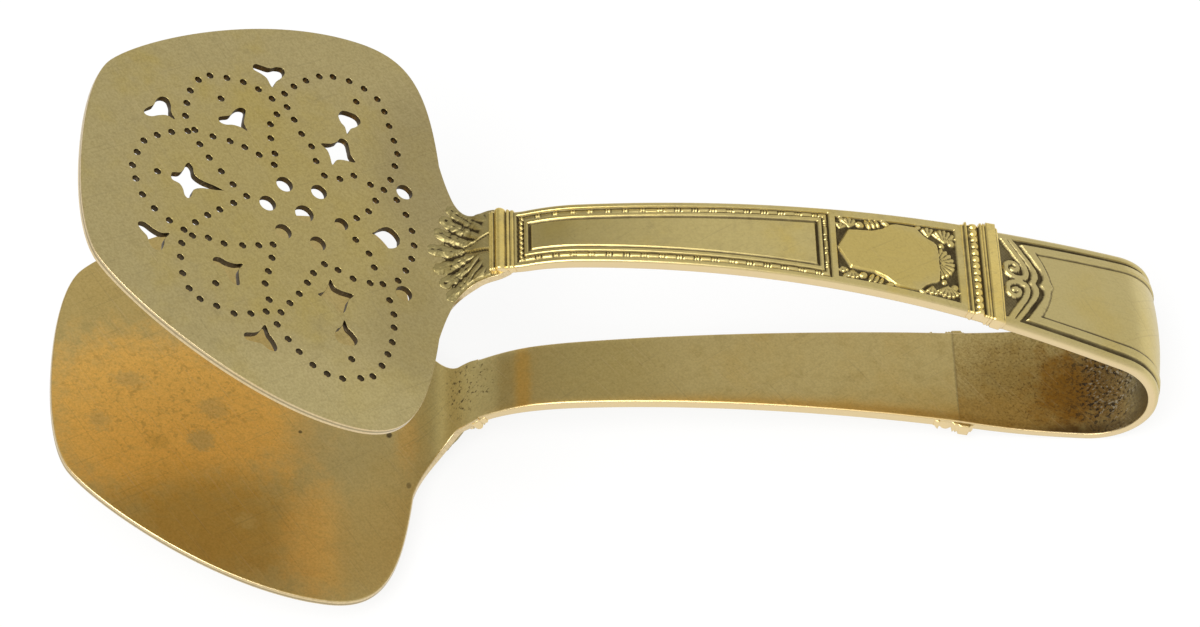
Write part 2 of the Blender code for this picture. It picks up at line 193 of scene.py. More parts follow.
@dataclass(frozen=True)
class Ripple:
    """Uneven ground of crossed waves: its height, and each wave's number, sway and the sway's own number."""

    height: float
    along: tuple[float, float, float]
    across: tuple[float, float, float]

    def rise(self, u: Array, y: Array) -> Array:
        """Height of the waves."""
        number, sway, turn = self.along
        waves = np.sin(number * u + sway * np.sin(turn * y))
        number, sway, turn = self.across
        return self.height * waves * np.sin(number * y + sway * np.sin(turn * u))


@dataclass(frozen=True)
class StripSizes:
    """Sizes of a strip, in millimetres and degrees. Each half may change a few of them."""

    bow_radius: float = 11.56
    bow_turn: float = 76.0
    flare_length: float = 23.7
    arm_length: float = 87.7
    neck_length: float = 21.4
    heel_length: float = 3.0
    blade_length: float = 70.1
    neck_width: float = 12.6
    band_width: float = 20.6
    bow_width: float = 27.0
    arm_taper: float = 1.62
    bow_taper: float = 1.2
    bow_dome: float = 0.25
    bow_crown: float = 1.2
    crown_fade: float = 0.6
    bow_skew: float = 1.05
    bow_skew_from: float = 8.0
    bow_thickness: float = 1.9
    arm_thickness: float = 2.2
    blade_thickness: float = 1.4

    @property
    def bow_half(self) -> float:
        """Length of the strip from the middle of the bow to its bending line."""
        return self.bow_radius * math.radians(self.bow_turn)


@dataclass(frozen=True)
class Bends:
    """What differs between the halves: bends in degrees, and leg and gooseneck lengths."""

    flare: float
    arch: float
    neck: float
    heel: float
    leg: float
    gooseneck: float


@dataclass(frozen=True)
class Seat:
    """How the strip's own side view stands on the table: a turn about Y and a shift."""

    tilt: float = 0.0
    x: float = 0.0
    z: float = 0.0


@dataclass(frozen=True)
class NeckCurve:
    """One smooth curve in place of a neck's bends, from before the collar to a place on the flat blade.

    The start is measured from the collar and the end from the flat blade. The pulls say how firmly each end
    keeps its heading.
    """

    start: float
    end: float
    pulls: tuple[float, float]
    steps: int = 400

    def trace(self, x: Array, z: Array, heading: Array, length: float) -> tuple[Array, Array]:
        """Points of the curve.

        Args:
            x: both ends' first coordinate.
            z: both ends' second coordinate.
            heading: both ends' direction.
            length: length of the strip that the curve takes up.

        Returns:
            Distance along the strip from the curve's start, and the point there.
        """
        u = np.linspace(0, 1, self.steps)[:, None]
        ends = np.stack([x, z], 1)
        ways = np.stack([np.cos(heading), np.sin(heading)], 1) * np.array(self.pulls)[:, None] * length
        path = (2 * u**3 - 3 * u**2 + 1) * ends[0] + (3 * u**2 - 2 * u**3) * ends[1]
        path = path + (u**3 - 2 * u**2 + u) * ways[0] + (u**3 - u**2) * ways[1]
        run = np.concatenate([[0], np.cumsum(np.hypot(*np.diff(path, axis=0).T))])
        return run * length / run[-1], path


@dataclass(frozen=True)
class StripLine:
    """Middle line of one half's strip, with the small shifts of its neck and blade.

    The sideset moves the strip sideways between the band and the blade, the lift raises the neck, and the
    blade is flat from the settled place on.
    """

    half: Half
    bends: Bends
    sizes: StripSizes = StripSizes()
    seat: Seat = Seat()
    sideset: float = 0.0
    sideset_span: tuple[float, float] = (15.0, 10.0)
    lift: float = 0.0
    lift_from: float = -3.5
    lift_length: float = 8.0
    settled: float = 5.5
    curve: NeckCurve | None = None

    @property
    def band_at(self) -> float:
        """Place of the cross band along the strip."""
        return self.sizes.bow_half + self.bends.leg

    @property
    def collar_at(self) -> float:
        """Place of the neck collar along the strip."""
        return self.band_at + self.sizes.arm_length

    @property
    def blade_at(self) -> float:
        """Place where the flat blade starts."""
        return self.collar_at + self.bends.gooseneck

    def stretches(self) -> list[tuple[float, float]]:
        """Length and turn of each bent stretch, from the middle of the bow."""
        z = self.sizes
        arch = self.blade_at - z.bow_half - z.flare_length - z.neck_length - z.heel_length
        return [(z.bow_half, z.bow_turn), (z.flare_length, self.bends.flare), (arch, self.bends.arch),
                (z.neck_length, self.bends.neck), (z.heel_length, self.bends.heel), (z.blade_length, 0.0)]

    def run(self, s: Array) -> tuple[Array, Array, Array]:
        """Side view of the line.

        Args:
            s: places along the strip.

        Returns:
            x, z and heading at each place.
        """
        x, z, heading = self.bent(s)
        if self.curve is None:
            return x, z, heading
        low, high = self.collar_at + self.curve.start, self.blade_at + self.curve.end
        places, path = self.curve.trace(*self.bent(np.array([low, high])), high - low)
        slope = np.gradient(path, axis=0)
        turn = np.unwrap(np.arctan2(slope[:, 1], slope[:, 0]))
        inside = (s > low) & (s < high)
        eased = [np.interp(s - low, places, values) for values in (path[:, 0], path[:, 1], turn)]
        return tuple(np.where(inside, new, old) for new, old in zip(eased, (x, z, heading)))

    def bent(self, s: Array) -> tuple[Array, Array, Array]:
        """Side view of the bent stretches: x, z and heading at places along the strip."""
        sign = self.half.value
        left = np.array(s, float)
        x, z = np.zeros_like(left), np.zeros_like(left)
        heading = np.full_like(left, sign * math.pi / 2)
        stretches = self.stretches()
        for index, (length, turn) in enumerate(stretches):
            step = left if index == len(stretches) - 1 else np.minimum(left, length)
            bend = sign * math.radians(turn) * step / length
            chord = step * np.sinc(bend / (2 * math.pi))
            x = x + chord * np.cos(heading + bend / 2)
            z = z + chord * np.sin(heading + bend / 2)
            heading = heading + bend
            left = left - step
        return x, z, heading

    def place(self, s: Array, y: Array, t: Array) -> Array:
        """World points, in metres, of places on the strip."""
        s = np.asarray(s, float)
        x, z, heading = self.run(s)
        x = x + self.half.value * t * np.sin(heading)
        z = z - self.half.value * t * np.cos(heading)
        cos, sin = math.cos(self.seat.tilt), math.sin(self.seat.tilt)
        far = np.clip(y / self.sizes.bow_width + 0.5, 0, 1)
        skew = self.sizes.bow_skew * far * smoothstep(self.band_at, self.sizes.bow_skew_from, s)
        low = self.collar_at + self.lift_from
        high = low + self.lift_length
        rise = self.lift * smoothstep(low, high, s) * smoothstep(self.blade_at + self.settled, high, s)
        start, end = self.sideset_span
        y = y + self.sideset * smoothstep(self.band_at + start, self.collar_at + end, s)
        along = x * cos + z * sin + self.seat.x + skew
        up = -x * sin + z * cos + self.seat.z + rise
        return np.stack([along, y, up], -1) * MM

    def half_width(self, s: Array) -> Array:
        """Half of the strip's width, from the bow to the neck."""
        z = self.sizes
        bow = z.bow_width - (z.bow_width - z.band_width) * np.clip(s / self.band_at, 0, 1) ** z.bow_taper
        share = np.clip((self.collar_at - s) / z.arm_length, 0, 1)
        arm = z.neck_width + (z.band_width - z.neck_width) * share**z.arm_taper
        return np.where(s <= self.band_at, bow, arm) / 2

    def dome(self, s: Array, y: Array) -> Array:
        """Swell of the bow's face in its middle and its fall towards its edges."""
        fade = np.clip(1 - s / self.band_at, 0, 1)
        share = np.clip(y / self.half_width(s), -1, 1) ** 2
        crown = self.sizes.bow_crown * fade**self.sizes.crown_fade
        return crown * (1 - share) - self.sizes.bow_dome * fade * share


@dataclass
class Skin:
    """Grid of strip points, closed round its section, with the values that the finishes read."""

    s: Array
    y: Array
    t: Array
    recess: Array
    edge: Array
    inner: Array

    def build(self, name: str, line: StripLine, finishes: Sequence[bpy.types.Material]) -> bpy.types.Object:
        """Make the closed mesh.

        Args:
            name: name of the new piece.
            line: line that the strip is bent onto.
            finishes: materials of the outer and the inner face.

        Returns:
            The new object.
        """
        rows, columns = self.s.shape
        index = np.arange(rows * columns).reshape(rows, columns)
        right = np.roll(index, -1, axis=1)
        quads = np.stack([index[:-1], right[:-1], right[1:], index[1:]], -1).reshape(-1, 4)
        points = line.place(self.s, self.y, self.t).reshape(-1, 3)
        a, b, c, d = (points[quads[:, k]] for k in range(4))
        volume = np.einsum("ij,ij->", a, np.cross(b, c)) + np.einsum("ij,ij->", a, np.cross(c, d))
        ends = len(points) + np.arange(2 * columns).reshape(2, columns)
        caps = [ends[0][::-1], ends[1]]
        if volume < 0:
            quads = quads[:, ::-1]
            caps = [cap[::-1] for cap in caps]
        mesh = bpy.data.meshes.new(name)
        corners = np.concatenate([points, points[:columns], points[-columns:]])
        mesh.from_pydata(corners.tolist(), [], quads.tolist() + [cap.tolist() for cap in caps])
        inner = np.concatenate([np.broadcast_to(self.inner, (rows - 1, columns)).reshape(-1), [False, False]])
        mesh.polygons.foreach_set("material_index", inner.astype(np.int32))
        mesh.polygons.foreach_set("use_smooth", np.ones(len(mesh.polygons), bool))
        set_attribute(mesh, "recess", with_ends(self.recess).reshape(-1))
        set_attribute(mesh, "edge", with_ends(self.edge).reshape(-1))
        set_strip_attribute(mesh, with_ends(np.stack([self.s, self.y, self.t], -1)).reshape(-1, 3))
        return add_piece(name, mesh, finishes)


def with_ends(grid: Array) -> Array:
    """Grid with its first and its last row once more, for the ends that close a skin."""
    return np.concatenate([grid, grid[:1], grid[-1:]])


def set_attribute(mesh: bpy.types.Mesh, name: str, values: Array) -> None:
    """Store one number for each vertex."""
    attribute = mesh.attributes.new(name, "FLOAT", "POINT")
    attribute.data.foreach_set("value", values.astype(np.float32))


def set_strip_attribute(mesh: bpy.types.Mesh, values: Array) -> None:
    """Store each vertex's place on the flat strip, in millimetres."""
    attribute = mesh.attributes.new("strip", "FLOAT_VECTOR", "POINT")
    attribute.data.foreach_set("vector", values.astype(np.float32).reshape(-1))


def add_piece(name: str, mesh: bpy.types.Mesh, finishes: Sequence[bpy.types.Material]) -> bpy.types.Object:
    """Named object of a mesh with its materials, in the scene."""
    for finish in finishes:
        mesh.materials.append(finish)
    obj = bpy.data.objects.new(name, mesh)
    bpy.context.scene.collection.objects.link(obj)
    return obj


@dataclass(frozen=True)
class SkinGrid:
    """How finely a strip's skin is divided, and how its edges are rounded."""

    step: float = 0.17
    border: float = 3.9
    border_step: float = 0.11
    middle_columns: int = 58
    inner_columns: int = 12
    outer_round: float = 0.5
    inner_round: float = 0.35
    arc_steps: int = 4
    cavity_reach: float = 0.55
    cavity_depth: float = 0.2
    ground_level: float = -0.27
    ground_gain: float = 3.6
    # Brightness of the sides from wear and painted highlight, at the outer rim, the middle and the inner rim.
    wear_and_sheen_levels: tuple[float, float, float] = (0.1, 1.0, 0.7)

    def outer_places(self, width: Array) -> Array:
        """Places across the outer face: even steps in from each edge, and an even middle."""
        count = round((self.border - self.outer_round) / self.border_step)
        inset = np.linspace(self.outer_round, self.border, count, endpoint=False)
        share = np.linspace(1, -1, self.middle_columns)
        near = width[:, None] - inset[None, :]
        middle = (width[:, None] - self.border) * share[None, :]
        return np.concatenate([near, middle, -near[:, ::-1]], axis=1)

    def skin(self, line: StripLine, span: tuple[float, float], thickness: float, relief: Relief,
             grow: Reach | None = None, sink: Reach | None = None) -> Skin:
        """Closed skin of a stretch of the strip.

        Args:
            line: the half's line.
            span: start and end along the strip.
            thickness: thickness of the metal.
            relief: height of the outer face for s, y and half width.
            grow: reach past the strip's edges, for mouldings.
            sink: how far the inner face lies inside the metal.

        Returns:
            The skin's grid.
        """
        rows = max(2, round((span[1] - span[0]) / self.step)) + 1
        s = np.linspace(span[0], span[1], rows)
        width = line.half_width(s) + (grow(s) if grow else 0.0)
        low = -thickness / 2 + (sink(s) if sink else np.zeros_like(s))
        outer_y = self.outer_places(width)
        outer_s = np.broadcast_to(s[:, None], outer_y.shape)
        wide = np.broadcast_to(width[:, None], outer_y.shape)
        height = relief(outer_s, outer_y, wide)
        # The recess marks hollows and sunk grounds, which the finishes darken with painted shade and patina.
        reach = max(1, round(self.cavity_reach / self.step))
        cavity = np.clip((blurred(height, reach) - height) / self.cavity_depth, 0, 1)
        recess = np.clip(np.maximum(cavity, self.ground_gain * (self.ground_level - height)), 0, 1)
        outer_t = thickness / 2 + height + line.dome(outer_s, outer_y)
        sides = [self.side(line, s, width, thickness / 2, height, low, sign) for sign in (-1, 1)]
        inner_share = np.linspace(-1, 1, self.inner_columns)[None, :]
        inner_y = (width[:, None] - self.inner_round) * inner_share
        inner_s = np.broadcast_to(s[:, None], inner_y.shape)
        inner_t = low[:, None] + line.dome(inner_s, inner_y)
        y = np.concatenate([outer_y, sides[0][0], inner_y, sides[1][0][:, ::-1]], axis=1)
        t = np.concatenate([outer_t, sides[0][1], inner_t, sides[1][1][:, ::-1]], axis=1)
        side_count = sides[0][0].shape[1]
        outer_count, inner_count = outer_y.shape[1], inner_y.shape[1]
        plain = np.zeros((rows, side_count))
        # Sides brightened by wear and painted highlight.
        worn = np.broadcast_to(self.wear_and_sheen(), plain.shape)
        recess = np.concatenate([recess, plain, np.zeros((rows, inner_count)), plain], axis=1)
        edge = np.concatenate([np.zeros_like(outer_y), worn, np.zeros_like(inner_y), worn[:, ::-1]], axis=1)
        inner = np.zeros(y.shape[1], bool)
        first = outer_count + side_count
        inner[first - 1:first + inner_count] = True
        return Skin(np.broadcast_to(s[:, None], y.shape), y, t, recess, edge, inner)

    def wear_and_sheen(self) -> Array:
        """How bright each point of a side is made, by wear and painted highlight, from the outer to the inner
        face.
        """
        first, middle, last = self.wear_and_sheen_levels
        outer = np.linspace(first, middle, self.arc_steps)
        return np.concatenate([outer, np.linspace(middle, last, self.arc_steps - 1)])

    def side(self, line: StripLine, s: Array, width: Array, face: float, height: Array, low: Array,
             sign: int) -> tuple[Array, Array]:
        """Rounded side of a strip from its outer to its inner face.

        Args:
            line: the half's line.
            s: rows along the strip.
            width: half width at each row.
            face: level of the plain outer face.
            height: relief of the outer face, whose rim the side starts from.
            low: level of the inner face at each row.
            sign: which edge, -1 or 1.

        Returns:
            y and t of the side's points, row by row.
        """
        angles = np.linspace(0, math.pi / 2, self.arc_steps + 1)[1:]
        rim = height[:, 0 if sign > 0 else -1]
        top = face + rim
        y_parts, t_parts = [], []
        for angle in angles:
            y_parts.append(width - self.outer_round * (1 - math.sin(angle)))
            t_parts.append(top - self.outer_round * (1 - math.cos(angle)))
        for angle in angles[:-1] - angles[0]:
            y_parts.append(width - self.inner_round * (1 - math.cos(angle)))
            t_parts.append(low + self.inner_round * (1 - math.sin(angle)))
        y = sign * np.stack(y_parts, 1)
        t = np.stack(t_parts, 1)
        return y, t + line.dome(np.broadcast_to(s[:, None], y.shape), y)


@dataclass(frozen=True)
class Petal:
    """One struck petal or bead, by its centre, direction, length, width and height."""

    u: float
    y: float
    turn: float
    length: float
    width: float
    height: float

    def rise(self, u: Array, y: Array) -> Array:
        """Height of the petal over its ground."""
        cos, sin = math.cos(math.radians(self.turn)), math.sin(math.radians(self.turn))
        along = ((u - self.u) * cos + (y - self.y) * sin) / (self.length / 2)
        across = ((y - self.y) * cos - (u - self.u) * sin) / (self.width / 2)
        return self.height * np.sqrt(np.clip(1 - along**2 - across**2, 0, 1))


@dataclass(frozen=True)
class Fan:
    """One struck scallop: its hinge, direction, reach, half spread in degrees, ribs and height."""

    u: float
    y: float
    turn: float
    reach: float
    spread: float
    ribs: int
    height: float
    notch: float = 0.07
    rim_soft: float = 0.25
    side_soft: float = 0.1
    valley: float = 0.4
    hinge: float = 0.5

    def rise(self, u: Array, y: Array) -> Array:
        """Height of the scallop over its ground."""
        cos, sin = math.cos(math.radians(self.turn)), math.sin(math.radians(self.turn))
        along = (u - self.u) * cos + (y - self.y) * sin
        across = (y - self.y) * cos - (u - self.u) * sin
        reach = np.hypot(along, across)
        share = np.degrees(np.arctan2(across, along)) / self.spread
        rib = np.abs(np.cos(share * self.ribs * math.pi / 2))
        rim = self.reach * (1 - self.notch * (1 - rib))
        body = smoothstep(0, self.rim_soft, rim - reach) * smoothstep(0, self.side_soft, 1 - np.abs(share))
        ribbed = self.valley + (1 - self.valley) * rib
        return self.height * body * ribbed * (self.hinge + (1 - self.hinge) * reach / self.reach)


@dataclass(frozen=True)
class ArmOrnament:
    """Struck ornament of an arm, measured from its cross band (u) and in from its edges."""

    frame_start: float = 29.0
    frame_end: float = 85.05
    frame_inset: float = 0.95
    frame_depth: float = 0.46
    channel: tuple[float, float] = (0.22, 1.36)
    channel_soft: float = 0.14
    inner_line: tuple[float, float] = (1.5, 2.06)
    line_soft: float = 0.1
    line_height: float = 0.05
    sunk_line: float = 2.4
    sunk_half: float = 0.2
    sunk_depth: float = 0.38
    panel_drop: float = 0.05
    panel_soft: float = 0.25
    bead_height: float = 0.43
    reel_pitch: float = 3.1
    reel_length: float = 2.05
    reel_half: float = 0.42
    bar_soft: float = 0.1
    dot_radius: float = 0.25
    dot_shares: tuple[float, float] = (0.27, 0.73)
    dot_squash: float = 0.6
    # Reach over which the bars sink towards the collar, and their least height there; the sunk bars take
    # painted shade and patina from the recess.
    worn_bars: tuple[float, float] = (72.0, 46.0)
    worn_height: float = 0.25
    near_whole: float = 0.75
    rope_pitch: float = 1.1
    rope_slant: float = 0.5
    rope_height: float = 0.4
    rope_bead: tuple[float, float, float] = (0.95, 0.85, 0.5)
    ground_start: float = 4.85
    ground_end: float = 27.9
    ground_inset: float = 1.5
    ground_depth: float = 0.52
    ground_soft: float = 0.22
    matting: Ripple = Ripple(0.05, (9.1, 1.3, 5.7), (8.3, 1.1, 6.1))
    shield_rise: float = 0.04
    shield: tuple[tuple[float, float], ...] = (
        (27.6, 0.0), (26.6, 1.8), (25.4, 4.1), (24.0, 4.3), (21.0, 4.6), (19.0, 5.4), (17.3, 6.7),
        (16.4, 6.95), (12.6, 7.0), (12.1, 6.4), (11.4, 5.6), (10.4, 4.9), (9.3, 4.4), (8.7, 3.9),
        (8.5, 2.6), (8.5, 0.0))
    bevel: float = 0.34
    fans: tuple[Fan, ...] = (
        Fan(8.9, 0.0, 180, 3.6, 82, 9, 0.64), Fan(27.0, 4.2, 100, 1.5, 55, 3, 0.5),
        Fan(25.2, 4.7, 92, 2.2, 52, 4, 0.62), Fan(10.1, 5.4, 82, 2.2, 42, 3, 0.62),
        Fan(7.1, 4.7, 92, 3.0, 58, 6, 0.66))
    petals: tuple[Petal, ...] = (
        Petal(23.2, 5.7, 20, 1.7, 1.4, 0.58), Petal(21.7, 6.0, 64, 2.2, 0.9, 0.56),
        Petal(20.8, 6.25, 62, 2.1, 0.86, 0.54), Petal(19.9, 6.5, 60, 1.8, 0.8, 0.5),
        Petal(18.3, 6.9, 25, 1.9, 1.0, 0.48), Petal(5.7, 5.0, 0, 1.5, 1.5, 0.52),
        Petal(7.7, 4.1, 45, 1.2, 1.1, 0.46), Petal(26.6, 6.4, 60, 1.6, 0.9, 0.44),
        Petal(12.1, 7.2, -30, 1.6, 0.9, 0.44))

    def height(self, u: Array, y: Array, width: Array) -> Array:
        """Height of the arm's outer face over its plain rim."""
        inset = width - np.abs(y)
        return self.bead_frame(u, y, inset) + self.cartouche(u, np.abs(y), inset)

    def bead_frame(self, u: Array, y: Array, inset: Array) -> Array:
        """Long panel in its bead-and-reel frame."""
        ends = np.minimum(u - self.frame_start, self.frame_end - u)
        sides = inset - self.frame_inset
        depth = np.minimum(ends, sides)
        low, high = self.channel
        channel = smoothstep(0, low, depth) * (1 - smoothstep(high, high + self.channel_soft, depth))
        first, last = self.inner_line
        line = smoothstep(first - self.line_soft, first, depth)
        line = line * (1 - smoothstep(last, last + self.line_soft, depth))
        sunk = band(depth - self.sunk_line, self.sunk_half, self.channel_soft)
        panel = smoothstep(self.sunk_line, self.sunk_line + self.panel_soft, depth)
        middle = (low + high) / 2
        across = rounded(depth - middle, self.reel_half)
        at_rope = (self.frame_end - u < sides) & (self.frame_end - u < u - self.frame_start)
        along = np.where(ends < sides, y + self.reel_length / 2, u - self.frame_start)
        # Bars struck lower towards the collar, more on the far side, so that the recess darkens them with
        # painted shade and patina.
        whole = np.maximum(smoothstep(*self.worn_bars, u), self.near_whole * (y < 0))
        across = across * (self.worn_height + (1 - self.worn_height) * whole)
        beads = np.where(at_rope, self.rope(y, depth - middle), self.reels(along, depth - middle, across))
        lines = self.line_height * line - self.sunk_depth * sunk - self.panel_drop * panel
        return lines + channel * (beads - self.frame_depth)

    def reels(self, along: Array, offset: Array, across: Array) -> Array:
        """Bars with a pair of dots between them, along a row."""
        phase = np.mod(along, self.reel_pitch)
        half = self.reel_length / 2
        beads = band(phase - half, half - self.bar_soft, self.bar_soft) * across
        for share in self.dot_shares:
            centre = self.reel_length + (self.reel_pitch - self.reel_length) * share
            gap = np.hypot(phase - centre, offset * self.dot_squash)
            beads = np.maximum(beads, rounded(gap, self.dot_radius))
        return self.bead_height * beads

    def rope(self, y: Array, offset: Array) -> Array:
        """Short row of slanting beads at the collar's end."""
        phase = np.mod(y + self.rope_slant * offset, self.rope_pitch) - self.rope_pitch / 2
        length, width, half = self.rope_bead
        return self.rope_height * rounded(np.hypot(phase / length, offset / width), half)

    def cartouche(self, u: Array, y: Array, inset: Array) -> Array:
        """Plain shield on a matted ground, with husks and scallops in the corners and a shell at its end."""
        ends = np.minimum(u - self.ground_start, self.ground_end - u)
        ground = smoothstep(0, self.ground_soft, np.minimum(ends, inset - self.ground_inset))
        rise = np.zeros_like(u)
        near = (u > self.ground_start - 1) & (u < self.ground_end + 1)
        nu, ny = u[near], y[near]
        corners = np.array(self.shield)
        loop = np.concatenate([corners, corners[::-1] * np.array([1.0, -1.0])])
        raised = smoothstep(-self.bevel, self.bevel / 2, outline_depth(nu, ny, loop))
        top = np.maximum(raised * (self.ground_depth + self.shield_rise), self.matting.rise(nu, ny))
        for motif in (*self.petals, *self.fans):
            top = np.maximum(top, motif.rise(nu, ny))
        rise[near] = top
        return ground * (rise - self.ground_depth)


@dataclass(frozen=True)
class BowOrnament:
    """Border lines round the bow and the crest at its band, measured from the band (v) and the edges."""

    groove_inset: float = 1.9
    groove_half: float = 0.42
    groove_depth: float = 0.5
    groove_soft: float = 0.16
    line_inset: float = 4.0
    line_half: float = 0.16
    line_depth: float = 0.22
    line_soft: float = 0.14
    panel_drop: float = 0.24
    panel_soft: float = 0.3
    strap_rise: float = 0.07
    strap_edges: tuple[float, float, float, float] = (0.2, 0.5, -0.35, -0.1)
    crest_start: float = 3.4
    crest_length: float = 8.0
    crest_depth: float = 0.46
    crest_soft: float = 0.22
    crest_ripple: Ripple = Ripple(0.03, (8.7, 0.0, 0.0), (7.9, 0.0, 0.0))
    crest_overlap: float = 0.3
    strap_half: float = 0.5
    strap_shares: tuple[float, float] = (1.2, 0.35)
    strap_soft: tuple[float, float] = (0.08, 0.18)
    strap_crown: float = 0.06
    strap_round: float = 0.5
    eye_rise: float = 0.05
    outer_brace: tuple[tuple[float, float], ...] = (
        (10.9, 0.0), (11.35, 0.75), (11.55, 1.6), (11.25, 3.1), (9.7, 5.6), (8.3, 7.8), (7.4, 9.0),
        (6.6, 10.4))
    inner_brace: tuple[tuple[float, float], ...] = (
        (14.0, 0.0), (13.8, 0.55), (13.55, 1.1), (13.4, 2.0), (13.1, 3.1), (12.4, 5.0), (11.3, 7.2),
        (10.2, 9.2))
    ground_brace: tuple[tuple[float, float], ...] = (
        (9.3, 0.0), (9.75, 0.8), (9.9, 2.0), (9.65, 3.2), (8.1, 5.8), (6.75, 7.8), (5.5, 9.6),
        (4.8, 10.6))
    scroll: tuple[tuple[float, float], ...] = (
        (4.5, 9.8), (5.85, 7.6), (7.1, 5.6), (8.1, 4.0), (8.6, 2.8), (8.75, 1.7), (8.4, 0.85),
        (7.5, 0.55), (6.3, 0.6), (5.2, 1.2), (4.8, 2.3), (5.15, 3.35), (6.1, 3.75), (7.0, 3.3),
        (7.1, 2.45), (6.4, 2.1))
    scroll_eye: tuple[float, float, float] = (6.1, 2.3, 0.62)

    def height(self, v: Array, y: Array, width: Array) -> Array:
        """Height of the bow's outer face over its plain rim."""
        side = np.abs(y)
        inset = width - side
        outer = np.minimum(v - self.brace(self.outer_brace, side), inset - self.groove_inset)
        inner = np.minimum(v - self.brace(self.inner_brace, side), inset - self.line_inset)
        groove = band(outer, self.groove_half, self.groove_soft)
        line = band(inner, self.line_half, self.line_soft)
        panel = smoothstep(0, self.panel_soft, inner)
        strap = smoothstep(*self.strap_edges[:2], outer) * (1 - smoothstep(*self.strap_edges[2:], inner))
        sunk = -self.groove_depth * groove - self.line_depth * line - self.panel_drop * panel
        return sunk + self.strap_rise * strap + self.crest(v, side, inset)

    def brace(self, points: Points, side: Array) -> Array:
        """Distance from the band of a brace-shaped line, at a distance from the middle."""
        curve = smooth_path(points)
        return np.interp(side, curve[:, 1], curve[:, 0])

    def crest(self, v: Array, side: Array, inset: Array) -> Array:
        """Sunk ground at the band with a pair of facing scrolls."""
        brace = self.brace(self.ground_brace, side)
        ground = np.ones_like(v)
        for gap in (brace - v, v - self.crest_start, inset - self.groove_inset + self.crest_overlap):
            ground = ground * smoothstep(0, self.crest_soft, gap)
        near = v < self.crest_start + self.crest_length
        near_v, near_y = v[near], side[near]
        gap, share = path_distance(near_v, near_y, smooth_path(self.scroll))
        full, loss = self.strap_shares
        eased, edge = self.strap_soft
        half = self.strap_half * (full - loss * share)
        crown = self.crest_depth + self.strap_crown * rounded(gap, self.strap_round)
        eye_v, eye_y, eye_half = self.scroll_eye
        eye = rounded(np.hypot(near_v - eye_v, near_y - eye_y), eye_half)
        top = np.maximum(band(gap, half - eased, edge) * crown, (self.crest_depth + self.eye_rise) * eye)
        rise = np.zeros_like(v)
        rise[near] = top + self.crest_ripple.rise(near_v, near_y)
        return ground * (rise - self.crest_depth)


@dataclass(frozen=True)
class Moulding:
    """One member of a cross moulding: its place from the seam, half length, height and roundness."""

    at: float
    half: float
    height: float
    is_round: bool = False
    soft: float = 0.1

    def rise(self, u: Array) -> Array:
        """Height of this member along the strip."""
        if self.is_round:
            return self.height * rounded(u - self.at, self.half)
        return self.height * band(u - self.at, self.half - self.soft, self.soft)


@dataclass(frozen=True)
class CrossMoulding:
    """A soldered cross moulding: its members, its reach past the strip's edges, and any row of beads."""

    span: tuple[float, float]
    members: tuple[Moulding, ...]
    lug: float
    foot: float = 0.05
    bead_at: float | None = None
    bead_pitch: float = 1.5
    bead_half: float = 0.74
    bead_squash: float = 0.95
    bead_height: float = 0.52
    bead_seat: Moulding = Moulding(0.0, 1.0, 0.12)
    ledge: float = 0.1

    def profile(self, u: Array) -> Array:
        """Height of the members along the strip."""
        rise = np.zeros_like(u)
        for member in self.members:
            rise = np.maximum(rise, member.rise(u))
        return rise

    def height(self, u: Array, y: Array) -> Array:
        """Height of the moulding with its beads."""
        rise = self.profile(u)
        if self.bead_at is not None:
            phase = np.mod(y, self.bead_pitch) - self.bead_pitch / 2
            bead = rounded(np.hypot(phase * self.bead_squash, u - self.bead_at), self.bead_half)
            seat = self.bead_seat.rise(u - self.bead_at)
            rise = np.maximum(rise, seat + self.bead_height * bead)
        return rise + self.foot

    def grow(self, u: Array) -> Array:
        """Reach past the strip's edges."""
        top = max(member.height for member in self.members)
        return self.ledge + self.lug * self.profile(u) / top


CROSS_BAND = CrossMoulding(
    span=(-3.75, 3.6),
    members=(Moulding(-2.05, 1.06, 0.82), Moulding(-3.35, 0.3, 0.3), Moulding(-0.72, 0.26, 0.66, True),
             Moulding(-0.12, 0.3, 0.62, True), Moulding(2.8, 0.28, 0.46, True)),
    lug=0.7, bead_at=1.32)
NECK_COLLAR = CrossMoulding(
    span=(-2.35, 2.3),
    members=(Moulding(0.1, 1.04, 1.0, True), Moulding(-1.28, 0.3, 0.56, True), Moulding(-1.95, 0.34, 0.32),
             Moulding(1.52, 0.34, 0.5, True), Moulding(2.05, 0.22, 0.4, True)),
    lug=0.5)


